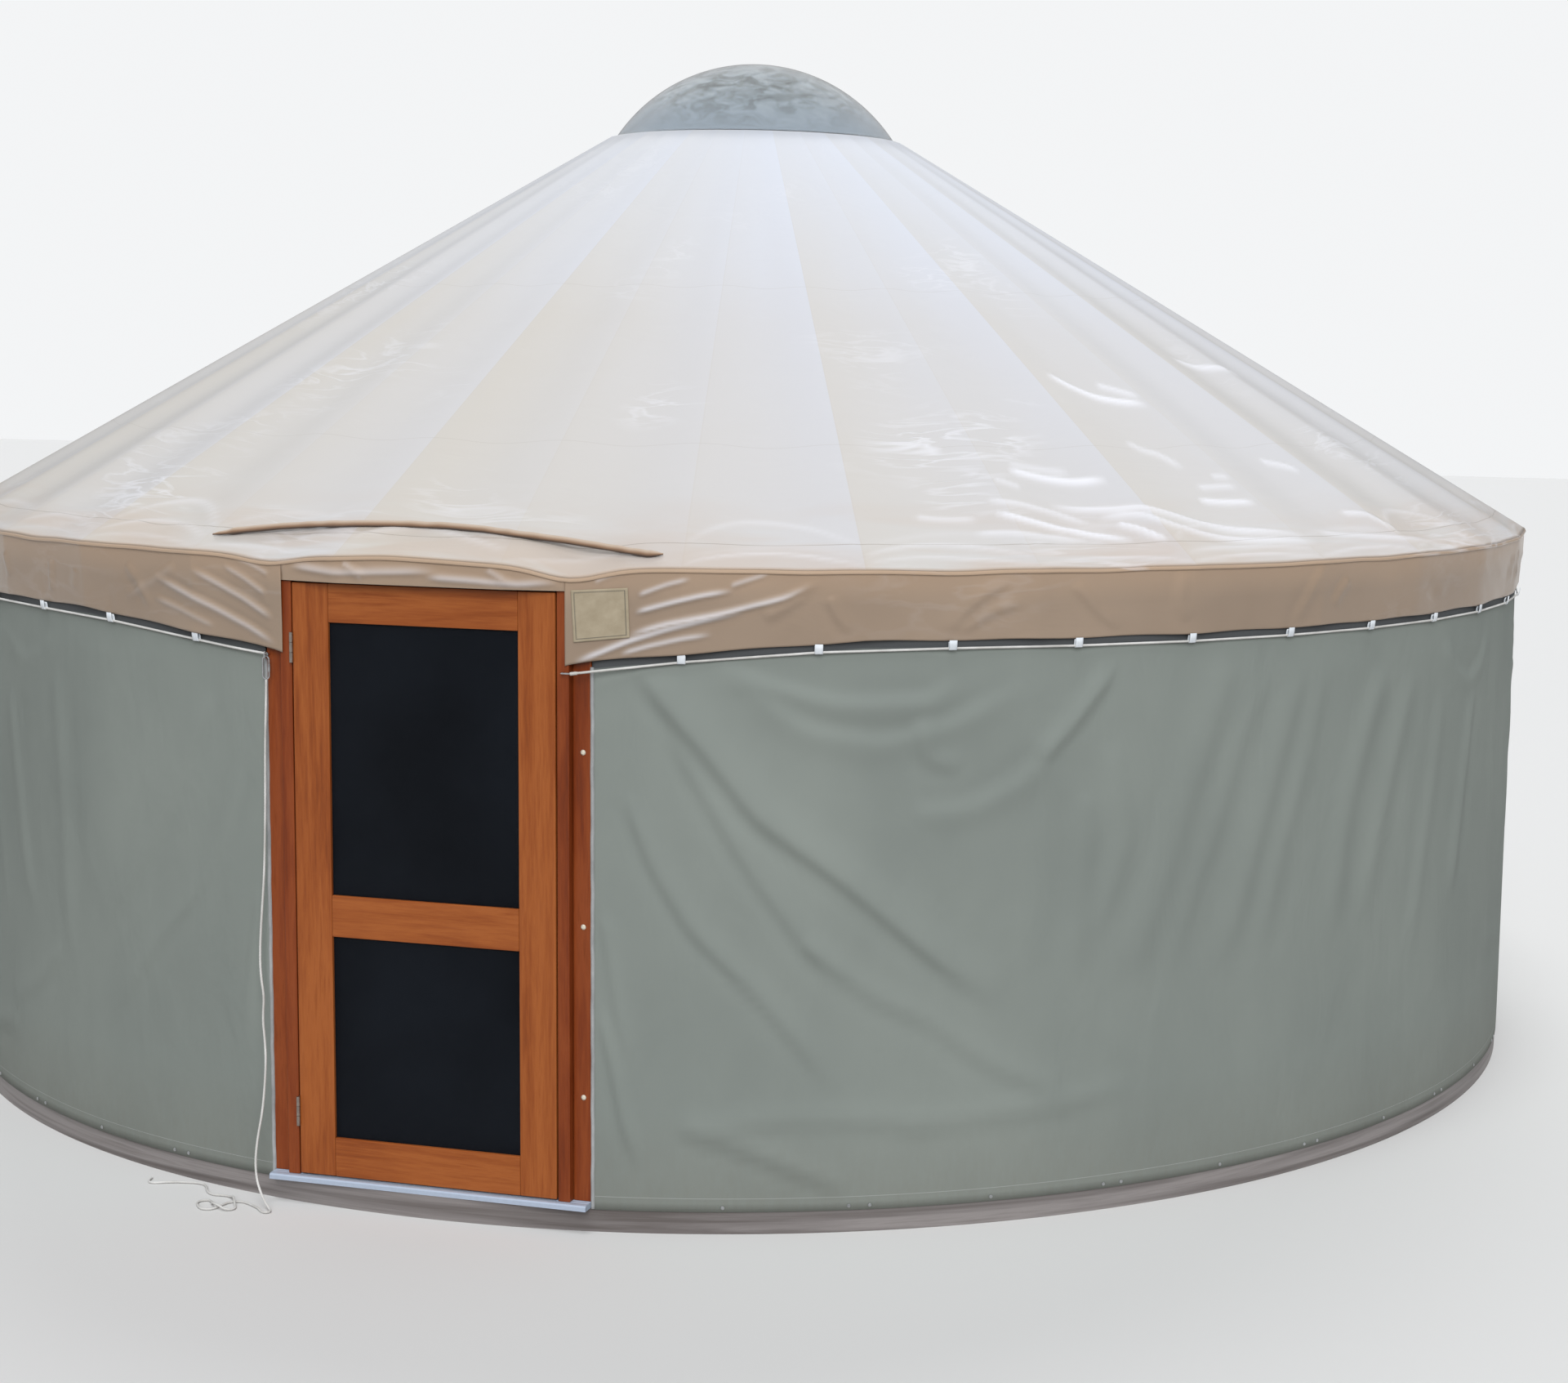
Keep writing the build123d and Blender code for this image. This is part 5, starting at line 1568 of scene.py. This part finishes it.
def makeHinges():
    # Knuckles by turns on the jamb and on the leaf, and a plate on each
    third, y = hardware["hingeLength"] / 3, hardware["hingeAxis"][1]
    gap, plate, (left, right) = hardware["hingeGap"], hardware["plate"], hardware["plateEdges"]
    fixed, moving = [], []
    for middle in hardware["hingeHeights"]:
        low, high = middle - 1.5 * third, middle + 1.5 * third
        fixed += [barrel(low, low + third - gap), barrel(high - third + gap, high)]
        moving += [barrel(middle - third / 2 + gap, middle + third / 2 - gap)]
        for plates, edge in ((fixed, left), (moving, right - plate)):
            outline = rectangle(edge, edge + plate, y, y + hardware["plateDepth"])
            plates.append(board(outline, low + 0.0005, high - 0.0005, 2, 0.0004))
    joined("hingeJambSide", fixed, house, hingeSteel, ["hinge_jamb_side"])
    joined("hingeLeafSide", moving, door, hingeSteel, ["hinge_leaf_side"])


def makeBolts():
    # Domed heads on a washer, three up the right strip
    y, r = jambLow.y + casing["setback"], hardware["boltRadius"]
    outline = ((0.2, 0.005), (0.55, 0.0046), (0.8, 0.0032), (0.86, 0.0016), (1, 0.0012), (1, 0))
    outline = [(r * share, -height) for share, height in outline]
    heads = [lathe(outline, 24, (hardware["boltX"], y, level), axis=1) for level in hardware["boltHeights"]]
    joined("stripBolts", heads, house, boltSteel, even=False)


def makeRopeHardware():
    # Hook: a bent wire. Eye: a ring of wire on a shank. Link: an oval of wire with a gate sleeve.
    turn, wire, reach = fullTurn(48), hardware["wire"], hardware["eyeRadius"]
    hook = tube(hardware["hook"], hardware["hookRadius"], 16, (0, 0, 1))
    tip = [(0.0012, -0.0034), (0.003, -0.002), (0.0036, 0), (0.003, 0.002), (0.0012, 0.0034)]
    tip = lathe(tip, 16, hardware["hook"][-1], axis=0)
    x, y, z = hardware["eye"]
    ring = together(x, y + reach * np.cos(turn), z + reach * np.sin(turn))
    eye = tube(ring, wire, 14, (1, 0, 0), closed=True)
    shank = tube([(x, y + 0.010, z), (x, y + 0.0235, z)], wire, 14, (1, 0, 0))
    x, y, z = (sum(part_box("snap_link"), Vector()) / 2)
    half, straight = hardware["linkWidth"] / 2 - wire, (hardware["linkLength"] - hardware["linkWidth"]) / 2
    oval = together(x + half * np.cos(turn), y, z + half * np.sin(turn) + straight * np.sign(np.sin(turn)))
    link = tube(oval, wire, 14, (0, 1, 0), closed=True)
    sleeve = [(0.0032, -0.014), (0.0036, -0.012), (0.0036, 0.010), (0.0032, 0.012)]
    gate = lathe(sleeve, 18, (x + half, y, z))
    for name, parts, node in (
        ("ropeHook", (hook, tip), "rope_hook"),
        ("screwEye", (eye, shank), "screw_eye"),
        ("snapLink", (link, gate), "snap_link"),
    ):
        joined(name, [part[:2] for part in parts], house, zinc, [node], even=False)


makeHinges()
makeBolts()
makeRopeHardware()
print("hardware fitted")


# Carried-over CAD nodes: lattice, rafters, ring, cable and platform keep their shapes

def radialTimber(name, tones, lean):
    # Grain that runs out from the axis along each rafter, round it along a ring, or slants
    # along laths whose two layers meet at the distance given as lean
    material, tree, shader = newMaterial(name, Specular_IOR_Level=0.4)
    coords = tree.nodes.new("ShaderNodeTexCoord").outputs["Object"]
    x, y, z = split(coords)
    distance = maths("SQRT", summed(product(x, x), product(y, y)))
    angle = maths("ARCTAN2", x, product(y, -1.0))
    if lean == "out":
        rise = summed(z, product(distance, roofSlope))
        parts = ((distance, 1.2), (angle, 60.0), (rise, 16.0))
    elif lean == "round":
        parts = ((angle, 2.0), (distance, 22.0), (z, 22.0))
    else:
        arc = product(angle, 3.25)
        outer = maths("GREATER_THAN", distance, lean)
        up, down = summed(arc, z), less(arc, z)
        along = node(tree, "Mix", {"Factor": outer, 2: up, 3: down}).outputs[0]
        across = node(tree, "Mix", {"Factor": outer, 2: down, 3: up}).outputs[0]
        parts = ((along, 0.9), (across, 26.0), (distance, 20.0))
    scaled = {axis: product(*part) for axis, part in enumerate(parts)}
    streak = noise(node(tree, "CombineXYZ", scaled).outputs[0], 6, 0.6, 0.4)
    tone = ramp(streak, list(zip((0.34, 0.46, 0.56, 0.68), tones)))
    feed(shader, Base_Color=tone, Roughness=mapped(streak, 0.3, 0.7, 0.45, 0.62))
    bump(shader, streak, 0.25, 0.0012)
    return material


def dress(material, *names):
    # Puts one material in every slot of some CAD nodes
    for name in names:
        for slot in bpy.data.objects[name].material_slots:
            slot.material = material


dress(radialTimber("rafterTimber", bare, "out"), "rafters_1", "rafters_2", "rafters_3", "rafters_4")
dress(radialTimber("ringTimber", bare, "round"), "compression_ring")
dress(radialTimber("lathTimber", bare, 3.2885), *[f"lattice_panel_{k}" for k in range(1, 7)])
dress(radialTimber("rimTimber", weathered, "round"), "platform_rim")
dress(timber("joistTimber", bare, 1, (0.2, 0.1, 0.4)), "platform_joists")
dress(timber("floorPlywood", bare, 0, (0.5, 0.3, 0.2), 0.5, 5.0), "platform_floor")
dress(steel("cableSteel", rgb(150, 153, 158), 0.3), "tension_cable")
print("frame dressed")


# Plain floor, soft studio light and a pale surround

studio = {
    "surround": (0.90, 0.91, 0.92, 1),
    "ambient": (0.80, 0.84, 0.90, 1),
    "ambientStrength": 0.26,
    "floorColour": (0.76, 0.76, 0.755, 1),
    "floorHalf": 60,
    "floorLevel": -0.0005,
    "floorBounce": (0.42, 0.40, 0.38, 1),
    # name, power, spread of the light, bearing and height in degrees
    "suns": (("softKey", 0.8, 24, 0, 74), ("softFill", 2.4, 40, 22, 30), ("softBack", 1.3, 50, 190, 38)),
}


def seenRays(tree, *more):
    # 1 for rays that come from the camera, through clear plastic or of the kinds that are named
    rays = tree.nodes.new("ShaderNodeLightPath").outputs
    direct = rays["Is Camera Ray"]
    for kind in ("Is Transmission Ray", *more):
        direct = maths("MAXIMUM", direct, rays[kind])
    return direct, rays["Is Glossy Ray"]


def makeStudio():
    # The camera sees the pale surround, and so does gloss but darker towards the horizon;
    # everything else gets a plain even sky
    world = bpy.data.worlds.new("studioWorld")
    bpy.context.scene.world = world
    world.use_nodes = True
    tree = world.node_tree
    tree.nodes.clear()
    direct, glossy = seenRays(tree)
    direction = split(tree.nodes.new("ShaderNodeTexCoord").outputs["Generated"])
    height = mapped(direction[2], 0.0, 0.6, 0.25, 1.0)
    levels = (
        (studio["ambient"], studio["ambientStrength"]),
        (studio["surround"], height),
        (studio["surround"], 1.0),
    )
    sky, gloss, seen = (node(tree, "Background", dict(enumerate(level))).outputs[0] for level in levels)
    mixed = node(tree, "MixShader", {0: glossy, 1: sky, 2: gloss}).outputs[0]
    mixed = node(tree, "MixShader", {0: direct, 1: mixed, 2: seen}).outputs[0]
    node(tree, "OutputWorld", {0: mixed}, is_active_output=True)
    for name, power, spread, bearing, climb in studio["suns"]:
        sun = bpy.data.lights.new(name, "SUN")
        sun.energy, sun.angle = power, radians(spread)
        holder = addObject(name, sun)
        holder.rotation_euler = (radians(90 - climb), 0, radians(bearing))
        holder.visible_glossy = holder.visible_transmission = False  # no bright disc in the dome


def makeFloor():
    # A flat square, plain and pale to the camera and to mirrors, that throws less light back on
    # the wall
    side = studio["floorHalf"]
    corners = [(x, y, studio["floorLevel"]) for x, y in rectangle(-side, side, -side, side)]
    material, tree, shader = newMaterial("studioFloor", Roughness=0.9)
    direct, _ = seenRays(tree, "Is Glossy Ray")
    feed(shader, Base_Color=blend(direct, studio["floorBounce"], studio["floorColour"]))
    mesh = bpy.data.meshes.new("studioFloor")
    mesh.from_pydata(corners, [], [(0, 1, 2, 3)])
    mesh.materials.append(material)
    addObject("studioFloor", mesh)


makeStudio()
makeFloor()
bpy.context.scene.view_settings.view_transform = "Standard"
print("studio lit")
